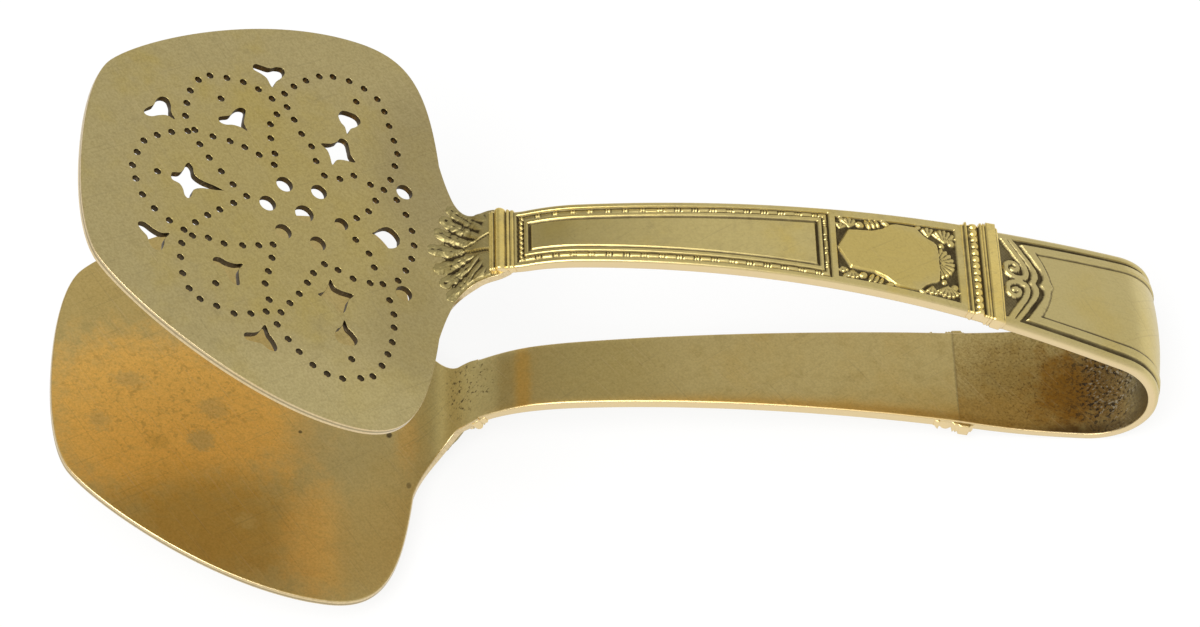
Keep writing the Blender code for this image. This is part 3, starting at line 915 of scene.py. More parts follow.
@dataclass(frozen=True)
class Acanthus:
    """Acanthus leaf on the gooseneck, measured from the start of the flat blade and from the middle line."""

    step: float = 0.14
    reach: float = 5.0
    half_span: float = 10.8
    bare: float = -0.6
    ground: float = 0.42
    crevice: float = 0.4
    crevice_from: tuple[float, float] = (2.4, 5.2)
    crevice_slant: float = 0.3
    crown: float = 0.66
    crown_turn: float = 0.95
    crown_power: float = 1.2
    tip_drop: float = 0.2
    section_power: float = 0.8
    lobes: tuple[tuple[tuple[float, float], ...], ...] = (
        ((-4.2, 0.0), (-0.4, 0.0), (3.4, 0.0)),
        ((-5.8, 0.9), (-2.0, 2.3), (2.2, 4.0)),
        ((-6.7, 2.0), (-3.4, 4.2), (1.0, 7.0)),
        ((-7.3, 3.4), (-4.8, 5.7), (-0.3, 9.7)),
        ((-8.0, 5.0), (-6.4, 6.4), (-3.2, 8.9)))
    lobe_shares: tuple[float, float, float] = (0.0, 0.6, 1.0)
    lobe_halves: tuple[float, float, float] = (0.6, 1.55, 1.25)
    ripples: tuple[Ripple, ...] = (
        Ripple(0.13, (1.9, 1.7, 1.3), (2.2, 1.4, 1.1)), Ripple(0.045, (4.6, 2.1, 2.7), (5.3, 1.9, 2.3)))
    ripples_from: tuple[float, float] = (2.0, 5.0)
    vein_depth: float = 0.08
    vein_edge: tuple[float, float] = (0.06, 0.17)
    vein_from: tuple[float, float] = (0.2, 0.5)
    stalk_half: float = 1.45
    stalk_least: float = 0.15
    stalk_length: float = 6.2
    stalk_power: float = 1.2
    stalk_rise: float = 0.3
    stalk_fade: float = 0.15
    stalk_edge: tuple[float, float] = (0.1, 0.2)
    stalk_crease: float = 0.5
    crease_edge: tuple[float, float, float] = (0.3, 0.2, 0.3)
    gooseneck: float = 11.8
    overlap: float = 0.2
    edge_gap: float = 0.05
    rim_soft: float = 0.6
    flank_soft: float = 0.45
    cut_level: float = -0.35
    root_share: float = 0.55
    hollow_reach: int = 5
    hollow_depth: float = 0.08
    hollow_level: float = -0.3
    rim: tuple[tuple[float, float], ...] = (
        (3.4, 0.0), (2.0, 2.1), (2.4, 3.8), (0.8, 5.6), (1.2, 7.0), (-0.6, 8.4), (-0.3, 9.6),
        (-3.0, 11.2))

    def height(self, a: Array, y: Array, flank: Array) -> Array:
        """Height of the leaf over the blade's outer face, below it where there is no leaf.

        Args:
            a: places from the start of the flat blade.
            y: places across.
            flank: half width of the blade's root there.

        Returns:
            Heights.
        """
        side = np.abs(y)
        start = float(np.min(a))
        along = a - start
        crevice = self.crevice * smoothstep(*self.crevice_from, along + self.crevice_slant * side)
        floor = self.ground - crevice
        rim = np.array(self.rim)
        inside = smoothstep(0, self.rim_soft, np.interp(side, rim[:, 1], rim[:, 0]) - a)
        best = self.bare + (floor - self.bare) * inside
        for lobe in self.lobes:
            best = np.maximum(best, self.lobe_height(a, side, smooth_path(lobe, steps=6)))
        uneven = sum(ripple.rise(a, y) for ripple in self.ripples)
        best = best + uneven * smoothstep(*self.ripples_from, along) * (best > 0)
        best = self.with_stalk(best, along, side)
        kept = smoothstep(0, self.flank_soft, flank - side)
        return best * kept + self.bare * (1 - kept)

    def lobe_height(self, a: Array, side: Array, path: Array) -> Array:
        """Height of one lobe with its vein, bare where the lobe doesn't reach."""
        gap, share = path_distance(a, side, path)
        half = np.interp(share, self.lobe_shares, self.lobe_halves)
        swell = np.sin(self.crown_turn * math.pi * share**self.crown_power)
        crown = self.ground + (self.crown - self.ground) * swell - self.tip_drop * share**3
        section = np.clip(1 - (gap / half) ** 2, 0, 1) ** self.section_power
        vein = band(gap, *self.vein_edge) * smoothstep(*self.vein_from, share)
        return np.where(gap < half, crown * section - self.vein_depth * vein, self.bare)

    def with_stalk(self, height: Array, along: Array, side: Array) -> Array:
        """Add the plain stalk at the collar and the creases along it."""
        share = np.clip(1 - along / self.stalk_length, 0, 1)
        edge = self.stalk_half * share**self.stalk_power + self.stalk_least
        shown = smoothstep(0, self.stalk_fade, share)
        eased, soft = self.stalk_edge
        top = self.ground + self.stalk_rise - self.bare
        stalk = self.bare + top * shown * band(side, edge - eased, soft)
        away, half, soft = self.crease_edge
        crease = shown * band(side - edge - away, half, soft)
        return np.maximum(height, stalk) - self.stalk_crease * crease


CURVE_STEPS = 40


@dataclass(frozen=True)
class BladePlan:
    """Outline and piercing of a blade, in millimetres from the flat blade's start and its middle line."""

    width: float = 86.2
    shoulder_at: float = 19.2
    flank_at: float = 2.1
    flank_width: float = 38.8
    tip_width: float = 44.0
    tip_round: float = 4.4
    tip_reach: float = 0.0
    root_share: float = 0.45
    root_ease: float = 0.25
    root_grow: float = 1.3
    root_lead: float = 0.15
    seam_grow: float = 0.2
    seam_lead: float = 2.0
    flank_in: tuple[float, float] = (0.1, 0.65)
    flank_out: tuple[float, float] = (0.14, 0.75)
    shoulder_in: float = 0.64
    shoulder_out: float = 0.4
    corner_in: tuple[float, float] = (6.0, 7.2)
    corner_out: tuple[float, float] = (3.0, 3.6)
    tip_flat: float = 0.45
    edge_bevel: float = 0.28
    hole_bevel: float = 0.1
    dot_radius: float = 0.66
    dot_pitch: float = 3.1
    dot_sides: int = 14
    dot_clear: float = 0.6
    eye_clear: float = 2.3
    wander: float = 0.16
    wander_seed: int = 11
    tip_petal: Points = (
        (39.3, 0.0), (44.2, 4.2), (48.4, 8.6), (50.8, 10.8), (53.3, 10.0), (58.3, 6.6), (60.7, 0.0))
    neck_petal: Points = (
        (20.5, 0.0), (16.0, 4.9), (12.9, 10.5), (10.2, 8.7), (7.5, 3.4), (7.0, 0.0))
    tip_side_petal: Points = (
        (34.1, 8.9), (39.6, 11.0), (45.6, 11.5), (50.3, 12.5), (51.2, 17.2), (49.1, 23.3), (43.5, 25.9),
        (37.2, 25.0), (34.3, 22.4), (35.2, 17.1), (34.3, 11.8))
    neck_side_petal: Points = (
        (24.6, 9.9), (27.8, 16.3), (31.4, 21.7), (33.1, 24.8), (30.7, 28.4), (25.9, 32.4), (20.3, 33.5),
        (14.7, 31.0), (12.1, 26.0), (10.6, 19.8), (11.6, 14.4), (12.9, 10.8), (18.8, 11.5))
    inner_dots: Points = ((56.1, 0.0), (44.7, 20.6), (18.7, 29.1))
    eyes: tuple[tuple[float, float, float], ...] = (
        (35.3, 0.0, 1.55), (28.3, 0.0, 1.75), (21.2, 0.0, 1.3), (32.2, 5.3, 1.55), (25.6, 5.8, 1.5),
        (9.0, 11.4, 1.55))
    cross: Points = (
        (53.5, 0.0), (53.2, 0.8), (51.9, 1.2), (51.2, 2.1), (50.8, 3.4), (50.2, 3.9), (49.6, 3.2),
        (49.2, 1.7), (47.6, 0.8), (45.4, 0.45), (43.6, 0.0))
    drop: Points = (
        (15.3, 0.0), (14.6, 0.5), (13.7, 1.5), (12.3, 2.3), (10.9, 1.9), (10.0, 0.8), (9.9, 0.0))
    pierced: tuple[Points, ...] = (
        ((59.1, 12.6), (58.4, 13.6), (57.3, 14.6), (56.9, 15.9), (56.0, 16.9), (54.8, 16.9),
         (54.2, 15.6), (54.1, 14.2), (53.3, 12.7), (54.8, 13.1), (56.3, 12.6), (57.6, 11.9),
         (58.7, 11.9)),
        ((45.1, 16.0), (44.0, 16.7), (42.9, 17.3), (42.2, 18.6), (41.2, 19.6), (40.1, 19.6),
         (40.2, 18.0), (40.3, 16.4), (39.6, 14.9), (40.9, 15.3), (42.4, 15.3), (43.7, 14.9),
         (44.8, 15.1)),
        ((38.9, 30.2), (38.7, 29.4), (37.2, 28.9), (36.1, 28.2), (35.1, 26.6), (34.4, 28.1),
         (33.5, 29.2), (32.8, 30.6), (33.1, 31.6), (34.4, 31.5), (35.6, 30.8), (37.2, 30.8),
         (38.4, 30.8)),
        ((25.4, 16.9), (24.2, 15.9), (23.6, 14.6), (23.1, 12.9), (22.3, 14.2), (20.9, 14.7),
         (18.7, 14.9), (19.6, 16.3), (19.9, 17.6), (20.4, 19.2), (21.6, 19.4), (22.4, 18.3),
         (23.6, 17.5)),
        ((22.1, 24.6), (21.6, 23.2), (20.8, 22.4), (20.3, 20.9), (19.7, 22.3), (18.7, 23.1),
         (17.8, 24.4), (18.3, 25.7), (19.9, 26.1), (21.4, 25.9)))

    def outline(self, line: StripLine) -> list[tuple[Vector, Vector, Vector]]:
        """Bezier corners of the whole outline.

        Args:
            line: the half's line, which gives the root's length.

        Returns:
            Point, handle in and handle out of each corner, with a measured from the flat blade's start.
        """
        start = line.sizes.neck_width / 2 + self.seam_grow
        neck = line.sizes.neck_width / 2 + self.root_grow
        flank, shoulder, tip = self.flank_width / 2, self.width / 2, self.tip_width / 2
        length = line.sizes.blade_length + self.tip_reach
        corner = length - self.tip_round
        reach, side = self.shoulder_at - self.flank_at, corner - self.shoulder_at
        seam = line.collar_at - line.blade_at
        root = self.flank_at - self.root_share * flank
        half = [
            ((seam, start), (seam, start), (seam + self.seam_lead, neck)),
            ((root, neck), (root - self.root_lead * flank, neck), (root + self.root_ease * flank, neck)),
            ((self.flank_at, flank),
             (self.flank_at - self.flank_in[0] * flank, self.flank_in[1] * flank),
             (self.flank_at + self.flank_out[0] * reach, flank + self.flank_out[1] * (shoulder - flank))),
            ((self.shoulder_at, shoulder),
             (self.shoulder_at - self.shoulder_in * reach, shoulder),
             (self.shoulder_at + self.shoulder_out * side, shoulder)),
            ((corner, tip),
             (corner - self.corner_in[0], tip + self.corner_in[1]),
             (corner + self.corner_out[0], tip - self.corner_out[1])),
            ((length, 0.0), (length, self.tip_flat * tip), (length, -self.tip_flat * tip)),
        ]
        other = []
        for point, before, after in reversed(half[:-1]):
            other.append(tuple((a, -y) for a, y in (point, after, before)))
        return half + other

    def root_half_width(self, line: StripLine, a: Array) -> Array:
        """Half width of the blade's root at places along it."""
        corners = self.outline(line)[:4]
        places = []
        for (start, _, out), (end, into, _) in zip(corners, corners[1:]):
            u = np.linspace(0, 1, CURVE_STEPS)[:, None]
            p = [np.array(q, float) for q in (start, out, into, end)]
            first = (1 - u) ** 3 * p[0] + 3 * u * (1 - u) ** 2 * p[1]
            places.append(first + 3 * u**2 * (1 - u) * p[2] + u**3 * p[3])
        curve = np.concatenate(places)
        return np.interp(a, curve[:, 0], curve[:, 1])

    def dots(self) -> list[tuple[float, float]]:
        """Centres of the rows of small holes, with the small wander of hand drilling."""
        chance = np.random.default_rng(self.wander_seed)
        rows = [spaced(smooth_path(line), self.dot_pitch) for line in (self.tip_petal, self.neck_petal)]
        for loop in (self.tip_side_petal, self.neck_side_petal):
            curve = smooth_path(loop, closed=True)
            rows.append(spaced(np.concatenate([curve, curve[:1]]), self.dot_pitch)[:-1])
        rows.append(np.array(self.inner_dots))
        eyes = [(a, sign * y) for a, y, _ in self.eyes for sign in (1, -1)]
        found: list[tuple[float, float]] = []
        for row in rows:
            for a, y in row:
                for sign in (1, -1):
                    spot = (a, sign * y)
                    clear = all(math.dist(spot, other) > self.dot_clear * self.dot_pitch for other in found)
                    if clear and all(math.dist(spot, eye) > self.eye_clear for eye in eyes):
                        found.append(spot)
        return [tuple(np.array(spot) + chance.normal(0, self.wander, 2)) for spot in found]

    def holes(self) -> list[Array]:
        """Outlines of all the holes in the pierced blade."""
        turn = np.linspace(0, 2 * math.pi, self.dot_sides, endpoint=False)
        circle = np.stack([np.cos(turn), np.sin(turn)], 1)
        holes = [np.array(spot) + self.dot_radius * circle for spot in self.dots()]
        wide = np.linspace(0, 2 * math.pi, 3 * self.dot_sides, endpoint=False)
        ring = np.stack([np.cos(wide), np.sin(wide)], 1)
        for a, y, radius in self.eyes:
            for sign in (1, -1) if y else (1,):
                holes.append(np.array((a, sign * y)) + radius * ring)
        for half in (self.cross, self.drop):
            curve = smooth_path(half, steps=4)
            holes.append(np.concatenate([curve, curve[-2:0:-1] * np.array([1, -1])]))
        for corners in self.pierced:
            curve = smooth_path(corners, closed=True, steps=4)
            holes += [curve, curve[::-1] * np.array([1, -1])]
        return holes


def spaced(path: Array, pitch: float) -> Array:
    """Points at even distances along a path, about one pitch apart, with both ends kept."""
    lengths = np.concatenate([[0], np.cumsum(np.hypot(*np.diff(path, axis=0).T))])
    count = max(1, round(lengths[-1] / pitch))
    places = np.linspace(0, lengths[-1], count + 1)
    return np.stack([np.interp(places, lengths, path[:, k]) for k in (0, 1)], 1)


Socket = bpy.types.NodeSocket


@dataclass(frozen=True)
class Noise:
    """A noise over a face: its scale in cycles for each millimetre, its detail and its roughness."""

    scale: float
    detail: float
    rough: float


BROAD = Noise(0.07, 4.0, 0.6)
CLOUD = Noise(0.35, 5.0, 0.65)
GRAIN = Noise(2.4, 4.0, 0.6)
FINE = Noise(1.1, 4.0, 0.65)
SCRATCH = Noise(1.0, 3.0, 0.7)
SCUFF = Noise(1.0, 2.0, 0.4)
NOISE_MIDDLE = 0.5


class Nodes:
    """Small helper that adds shader nodes to one material."""

    def __init__(self, name: str) -> None:
        """Start an empty node material."""
        self.material = bpy.data.materials.new(name)
        self.material.use_nodes = True
        self.tree = self.material.node_tree
        self.shader = self.tree.nodes["Principled BSDF"]

    def add(self, kind: str, **settings: object) -> bpy.types.Node:
        """New node with its settings."""
        node = self.tree.nodes.new(kind)
        for key, value in settings.items():
            setattr(node, key, value)
        return node

    def link(self, source: Socket, target: Socket) -> None:
        """Join an output to an input."""
        self.tree.links.new(source, target)

    def attribute(self, name: str) -> bpy.types.Node:
        """Reader of a vertex value."""
        return self.add("ShaderNodeAttribute", attribute_name=name)

    def math(self, kind: str, a: object, b: object, clamp: bool = False) -> Socket:
        """Sum, product or other operation of two sockets or numbers."""
        node = self.add("ShaderNodeMath", operation=kind, use_clamp=clamp)
        for socket, value in zip(node.inputs, (a, b)):
            if isinstance(value, (int, float)):
                socket.default_value = value
            else:
                self.link(value, socket)
        return node.outputs[0]

    def stretched(self, vector: Socket, scale: tuple[float, float, float]) -> Socket:
        """Coordinates multiplied along each axis."""
        node = self.add("ShaderNodeVectorMath", operation="MULTIPLY")
        self.link(vector, node.inputs[0])
        node.inputs[1].default_value = scale
        return node.outputs[0]

    def turned(self, vector: Socket, turn: float, scale: tuple[float, float, float]) -> Socket:
        """Coordinates turned across the face, then multiplied along each axis."""
        node = self.add("ShaderNodeVectorRotate", rotation_type="Z_AXIS")
        self.link(vector, node.inputs["Vector"])
        node.inputs["Angle"].default_value = turn
        return self.stretched(node.outputs[0], scale)

    def noise(self, vector: Socket, noise: Noise) -> Socket:
        """Value of a noise."""
        node = self.add("ShaderNodeTexNoise")
        self.link(vector, node.inputs["Vector"])
        node.inputs["Scale"].default_value = noise.scale
        node.inputs["Detail"].default_value = noise.detail
        node.inputs["Roughness"].default_value = noise.rough
        return node.outputs["Fac"]

    def ease(self, value: Socket, low: float, high: float) -> Socket:
        """Smooth step from 0 at low to 1 at high."""
        node = self.add("ShaderNodeMapRange", interpolation_type="SMOOTHSTEP")
        self.link(value, node.inputs["Value"])
        node.inputs["From Min"].default_value = low
        node.inputs["From Max"].default_value = high
        return node.outputs["Result"]

    def times(self, a: object, b: object) -> Socket:
        """Product of two sockets or numbers."""
        return self.math("MULTIPLY", a, b)

    def share(self, value: Socket, span: tuple[float, float], strength: float) -> Socket:
        """Smooth step over a span, times a strength."""
        return self.times(self.ease(value, *span), strength)

    def tint(self, base: object, colour: Colour, amount: Socket, blend: str = "MIX") -> Socket:
        """Mix a colour over a base, or multiply it in, by an amount."""
        node = self.add("ShaderNodeMix", data_type="RGBA", blend_type=blend)
        if isinstance(base, tuple):
            node.inputs["A"].default_value = (*base, 1.0)
        else:
            self.link(base, node.inputs[6])
        node.inputs[7].default_value = (*colour, 1.0)
        self.link(amount, node.inputs[0])
        return node.outputs[2]


class FaceNodes(Nodes):
    """Nodes of one finish, with the values that its parts share."""

    def __init__(self, name: str, brush: tuple[float, float, float]) -> None:
        """Start a material that reads the places on the strip, the hollows and edges, and the noises."""
        super().__init__(name)
        self.strip = self.attribute("strip").outputs["Vector"]
        self.recess = self.attribute("recess").outputs["Fac"]
        self.edge = self.attribute("edge").outputs["Fac"]
        self.broad = self.noise(self.strip, BROAD)
        self.cloud = self.noise(self.strip, CLOUD)
        self.grain = self.noise(self.strip, GRAIN)
        self.fine = self.noise(self.strip, FINE)
        self.scratch = self.noise(self.stretched(self.strip, brush), SCRATCH)


@dataclass(frozen=True)
class Patch:
    """A patch on a face, used for staining, for pits and for painted shade: its middle and reach on the
    strip, its colour, strength, ragged edge and grain.
    """

    s: float
    y: float
    reach_s: float
    reach_y: float
    colour: Colour
    strength: float = 0.8
    ragged: float = 0.5
    grain: float = GRAIN.scale
    cover: float = 0.58
    soft: float = 0.28
    small: float = 5.0

    def grains(self, nodes: FaceNodes) -> Socket:
        """Node value of the stain broken up into separate grains."""
        noise = nodes.noise(nodes.strip, replace(GRAIN, scale=self.grain))
        spots = nodes.ease(noise, self.cover, self.cover + self.soft / 4)
        return nodes.times(self.amount(nodes), spots)

    def amount(self, nodes: FaceNodes) -> Socket:
        """Node value of the patch's strength over the face, ragged by a finer noise where it is small."""
        noise = nodes.fine if self.reach_s < self.small else nodes.cloud
        shift = nodes.add("ShaderNodeVectorMath", operation="SUBTRACT")
        nodes.link(nodes.strip, shift.inputs[0])
        shift.inputs[1].default_value = (self.s, self.y, 0.0)
        scaled = nodes.stretched(shift.outputs[0], (1 / self.reach_s, 1 / self.reach_y, 0.0))
        length = nodes.add("ShaderNodeVectorMath", operation="LENGTH")
        nodes.link(scaled, length.inputs[0])
        offset = nodes.times(nodes.math("SUBTRACT", noise, NOISE_MIDDLE), 2 * self.ragged)
        distance = nodes.math("ADD", length.outputs["Value"], offset)
        return nodes.share(distance, (1 + self.soft, 1 - self.soft), self.strength)


@dataclass(frozen=True)
class Brass:
    """Tarnished gilt brass: its colours, its roughness, its brushing, its staining and its painted shade."""

    name: str
    pale: Colour
    warm: Colour
    dull: Colour
    shade: Colour = (0.16, 0.128, 0.07)
    patina: Colour = (0.04, 0.026, 0.011)
    bright: Colour = (0.78, 0.615, 0.365)
    roughness: float = 0.36
    warm_share: tuple[float, float] = (0.45, 0.75)
    brush: tuple[float, float, float] = (0.12, 5.0, 5.0)
    brush_bump: float = 0.12
    mottle: float = 0.55
    mottle_range: tuple[float, float] = (0.48, 0.78)
    streak: float = 0.25
    streak_range: tuple[float, float] = (0.5, 0.75)
    scuff: float = 0.12
    scuff_range: tuple[float, float] = (0.62, 0.74)
    scuff_turns: tuple[float, float, float] = (0.6, -0.9, 2.2)
    scuff_stretch: tuple[float, float, float] = (0.07, 3.4, 1.0)
    grit: float = 0.5
    grit_range: tuple[float, float] = (0.34, 0.66)
    grit_tone: Colour = (0.7, 0.66, 0.58)
    # Painted dark reflection line along the blade's cut edge: its strength, level, half width and start along
    # the strip.
    cut_line: float = 0.0
    cut_line_level: float = 0.1
    cut_line_half: tuple[float, float] = (0.3, 0.12)
    cut_line_from: tuple[float, float] = (142.0, 152.0)
    speckle: float = 0.25
    speckle_range: tuple[float, float] = (0.64, 0.78)
    edge_share: float = 0.85
    hollow_uneven: float = 0.5
    shade_range: tuple[float, float] = (0.12, 0.6)
    shade_share: float = 0.8
    patina_range: tuple[float, float] = (0.5, 1.0)
    patina_share: float = 0.85
    rough_spread: float = 0.14
    recess_rough: float = 0.22
    scratch_share: float = 0.6
    grain_share: float = 0.4
    pit_depth: float = 2.0
    bump_reach: float = 0.06
    stains_and_shade: tuple[Patch, ...] = ()
    pits: tuple[Patch, ...] = ()

    def make(self) -> bpy.types.Material:
        """Build the node material.

        Returns:
            The new material.
        """
        nodes = FaceNodes(self.name, self.brush)
        colour = self.worn(nodes, self.stained_and_shaded(nodes))
        # Painted dark reflection along the cut edge.
        if self.cut_line:
            colour = self.with_painted_reflection(nodes, colour)
        colour = self.shaded(nodes, colour)
        dots = [pit.grains(nodes) for pit in self.pits]
        for pit, amount in zip(self.pits, dots):
            colour = nodes.tint(colour, pit.colour, amount)
        nodes.link(colour, nodes.shader.inputs["Base Color"])
        nodes.shader.inputs["Metallic"].default_value = 1.0
        self.roughen(nodes, dots)
        return nodes.material

    def stained_and_shaded(self, nodes: FaceNodes) -> Socket:
        """Colour of the metal with its mottling, its staining and its patches of painted shade."""
        colour = nodes.tint(self.pale, self.warm, nodes.ease(nodes.broad, *self.warm_share))
        colour = nodes.tint(colour, self.dull, nodes.share(nodes.cloud, self.mottle_range, self.mottle))
        for patch in self.stains_and_shade:
            colour = nodes.tint(colour, patch.colour, patch.amount(nodes))
        return colour

    def worn(self, nodes: FaceNodes, colour: Socket) -> Socket:
        """Colour with grit, streaks, scuffs, specks and bright edges over it; the bright edges are wear and
        painted highlight.
        """
        gritty = nodes.share(nodes.grain, self.grit_range, self.grit)
        colour = nodes.tint(colour, self.grit_tone, gritty, "MULTIPLY")
        colour = nodes.tint(colour, self.dull, nodes.share(nodes.scratch, self.streak_range, self.streak))
        for turn, tone in zip(self.scuff_turns, (self.shade, self.bright, self.shade)):
            lines = nodes.noise(nodes.turned(nodes.strip, turn, self.scuff_stretch), SCUFF)
            colour = nodes.tint(colour, tone, nodes.share(lines, self.scuff_range, self.scuff))
        colour = nodes.tint(colour, self.patina, nodes.share(nodes.grain, self.speckle_range, self.speckle))
        return nodes.tint(colour, self.bright, nodes.times(nodes.edge, self.edge_share))

    def with_painted_reflection(self, nodes: FaceNodes, colour: Socket) -> Socket:
        """Colour with a painted dark reflection line along the cut edge of the blade."""
        split = nodes.add("ShaderNodeSeparateXYZ")
        nodes.link(nodes.strip, split.inputs[0])
        gap = nodes.math("SUBTRACT", split.outputs["Z"], self.cut_line_level)
        line = nodes.ease(nodes.math("ABSOLUTE", gap, 0.0), *self.cut_line_half)
        line = nodes.times(line, nodes.ease(split.outputs["X"], *self.cut_line_from))
        return nodes.tint(colour, self.shade, nodes.times(line, self.cut_line))

    def shaded(self, nodes: FaceNodes, colour: Socket) -> Socket:
        """Colour with painted shade and patina in the hollows."""
        uneven = nodes.times(nodes.math("SUBTRACT", nodes.cloud, NOISE_MIDDLE), self.hollow_uneven)
        depth = nodes.math("ADD", nodes.recess, uneven)
        colour = nodes.tint(colour, self.shade, nodes.share(depth, self.shade_range, self.shade_share))
        return nodes.tint(colour, self.patina, nodes.share(depth, self.patina_range, self.patina_share))

    def roughen(self, nodes: FaceNodes, dots: Sequence[Socket]) -> None:
        """Set the face's roughness and its fine relief.

        Args:
            nodes: nodes of the finish.
            dots: amounts of its pits.
        """
        spread = nodes.times(nodes.cloud, self.rough_spread)
        rough = nodes.math("ADD", spread, self.roughness - self.rough_spread / 2)
        rough = nodes.math("ADD", rough, nodes.times(nodes.recess, self.recess_rough), clamp=True)
        nodes.link(rough, nodes.shader.inputs["Roughness"])
        scratches = nodes.times(nodes.scratch, self.scratch_share)
        relief = nodes.math("ADD", scratches, nodes.times(nodes.grain, self.grain_share))
        if dots:
            pitting = dots[0]
            for amount in dots[1:]:
                pitting = nodes.math("MAXIMUM", pitting, amount)
            relief = nodes.math("SUBTRACT", relief, nodes.times(pitting, self.pit_depth))
        bump = nodes.add("ShaderNodeBump")
        bump.inputs["Strength"].default_value = self.brush_bump
        bump.inputs["Distance"].default_value = self.bump_reach * MM
        nodes.link(relief, bump.inputs["Height"])
        nodes.link(bump.outputs["Normal"], nodes.shader.inputs["Normal"])


OLIVE = (0.50, 0.405, 0.18)
ORANGE = (0.97, 0.575, 0.14)
TAN = (0.76, 0.48, 0.14)
BROWN = (0.60, 0.37, 0.08)
RUST = (0.33, 0.155, 0.018)
SOOT = (0.05, 0.036, 0.024)
ASH = (0.50, 0.44, 0.31)
GREY_GREEN = (0.52, 0.42, 0.185)

# The second patch of the struck arms is painted shade: it darkens them towards the collar.
STRUCK = Brass("struck_gilt", (0.70, 0.575, 0.24), (0.72, 0.555, 0.17), OLIVE, roughness=0.3, grit=0.25,
               stains_and_shade=(Patch(62, 0, 11, 7, (0.69, 0.53, 0.16), 0.75, 0.4),
                       Patch(130, 0, 24, 14, (0.52, 0.42, 0.165), 0.42, 0.2, soft=0.6)))
BAND_GILT = replace(STRUCK, name="band_gilt", pale=(0.93, 0.73, 0.25), warm=(0.91, 0.68, 0.2), stains_and_shade=())
LEAF_GILT = replace(STRUCK, name="leaf_gilt", pale=(0.40, 0.335, 0.145), warm=(0.41, 0.32, 0.11), stains_and_shade=(),
                    shade=(0.12, 0.095, 0.05), roughness=0.46)
BOW_OUTER = Brass("bow_gilt", (0.65, 0.54, 0.24), (0.645, 0.515, 0.195), (0.50, 0.405, 0.18), roughness=0.34,
                  brush=(0.04, 3.6, 3.6), streak=0.4, mottle=0.06, grit=0.2)
BLADE_OUTER = Brass("blade_satin", (0.56, 0.465, 0.22), (0.57, 0.45, 0.15), (0.45, 0.375, 0.18),
                    roughness=0.4, brush=(0.5, 0.5, 0.5), brush_bump=0.1, scuff=0.13,
                    stains_and_shade=(Patch(175, 0, 26, 24, (0.56, 0.45, 0.165), 0.6, 0.3),
                            Patch(148, 18, 10, 17, (0.44, 0.36, 0.175), 0.75, 0.4, soft=0.5),
                            Patch(150, -18, 8, 14, (0.46, 0.375, 0.17), 0.6, 0.4, soft=0.5),
                            Patch(163, -38, 22, 9, (0.64, 0.54, 0.26), 0.7, 0.3, soft=0.5)))
# Pale cut edge of the blades: wear and painted highlight, with a painted dark reflection line along it.
EDGE = Brass("worn_edge", (0.76, 0.61, 0.36), (0.75, 0.575, 0.31), (0.64, 0.52, 0.31),
             roughness=0.3, speckle=0.05, cut_line=0.6)
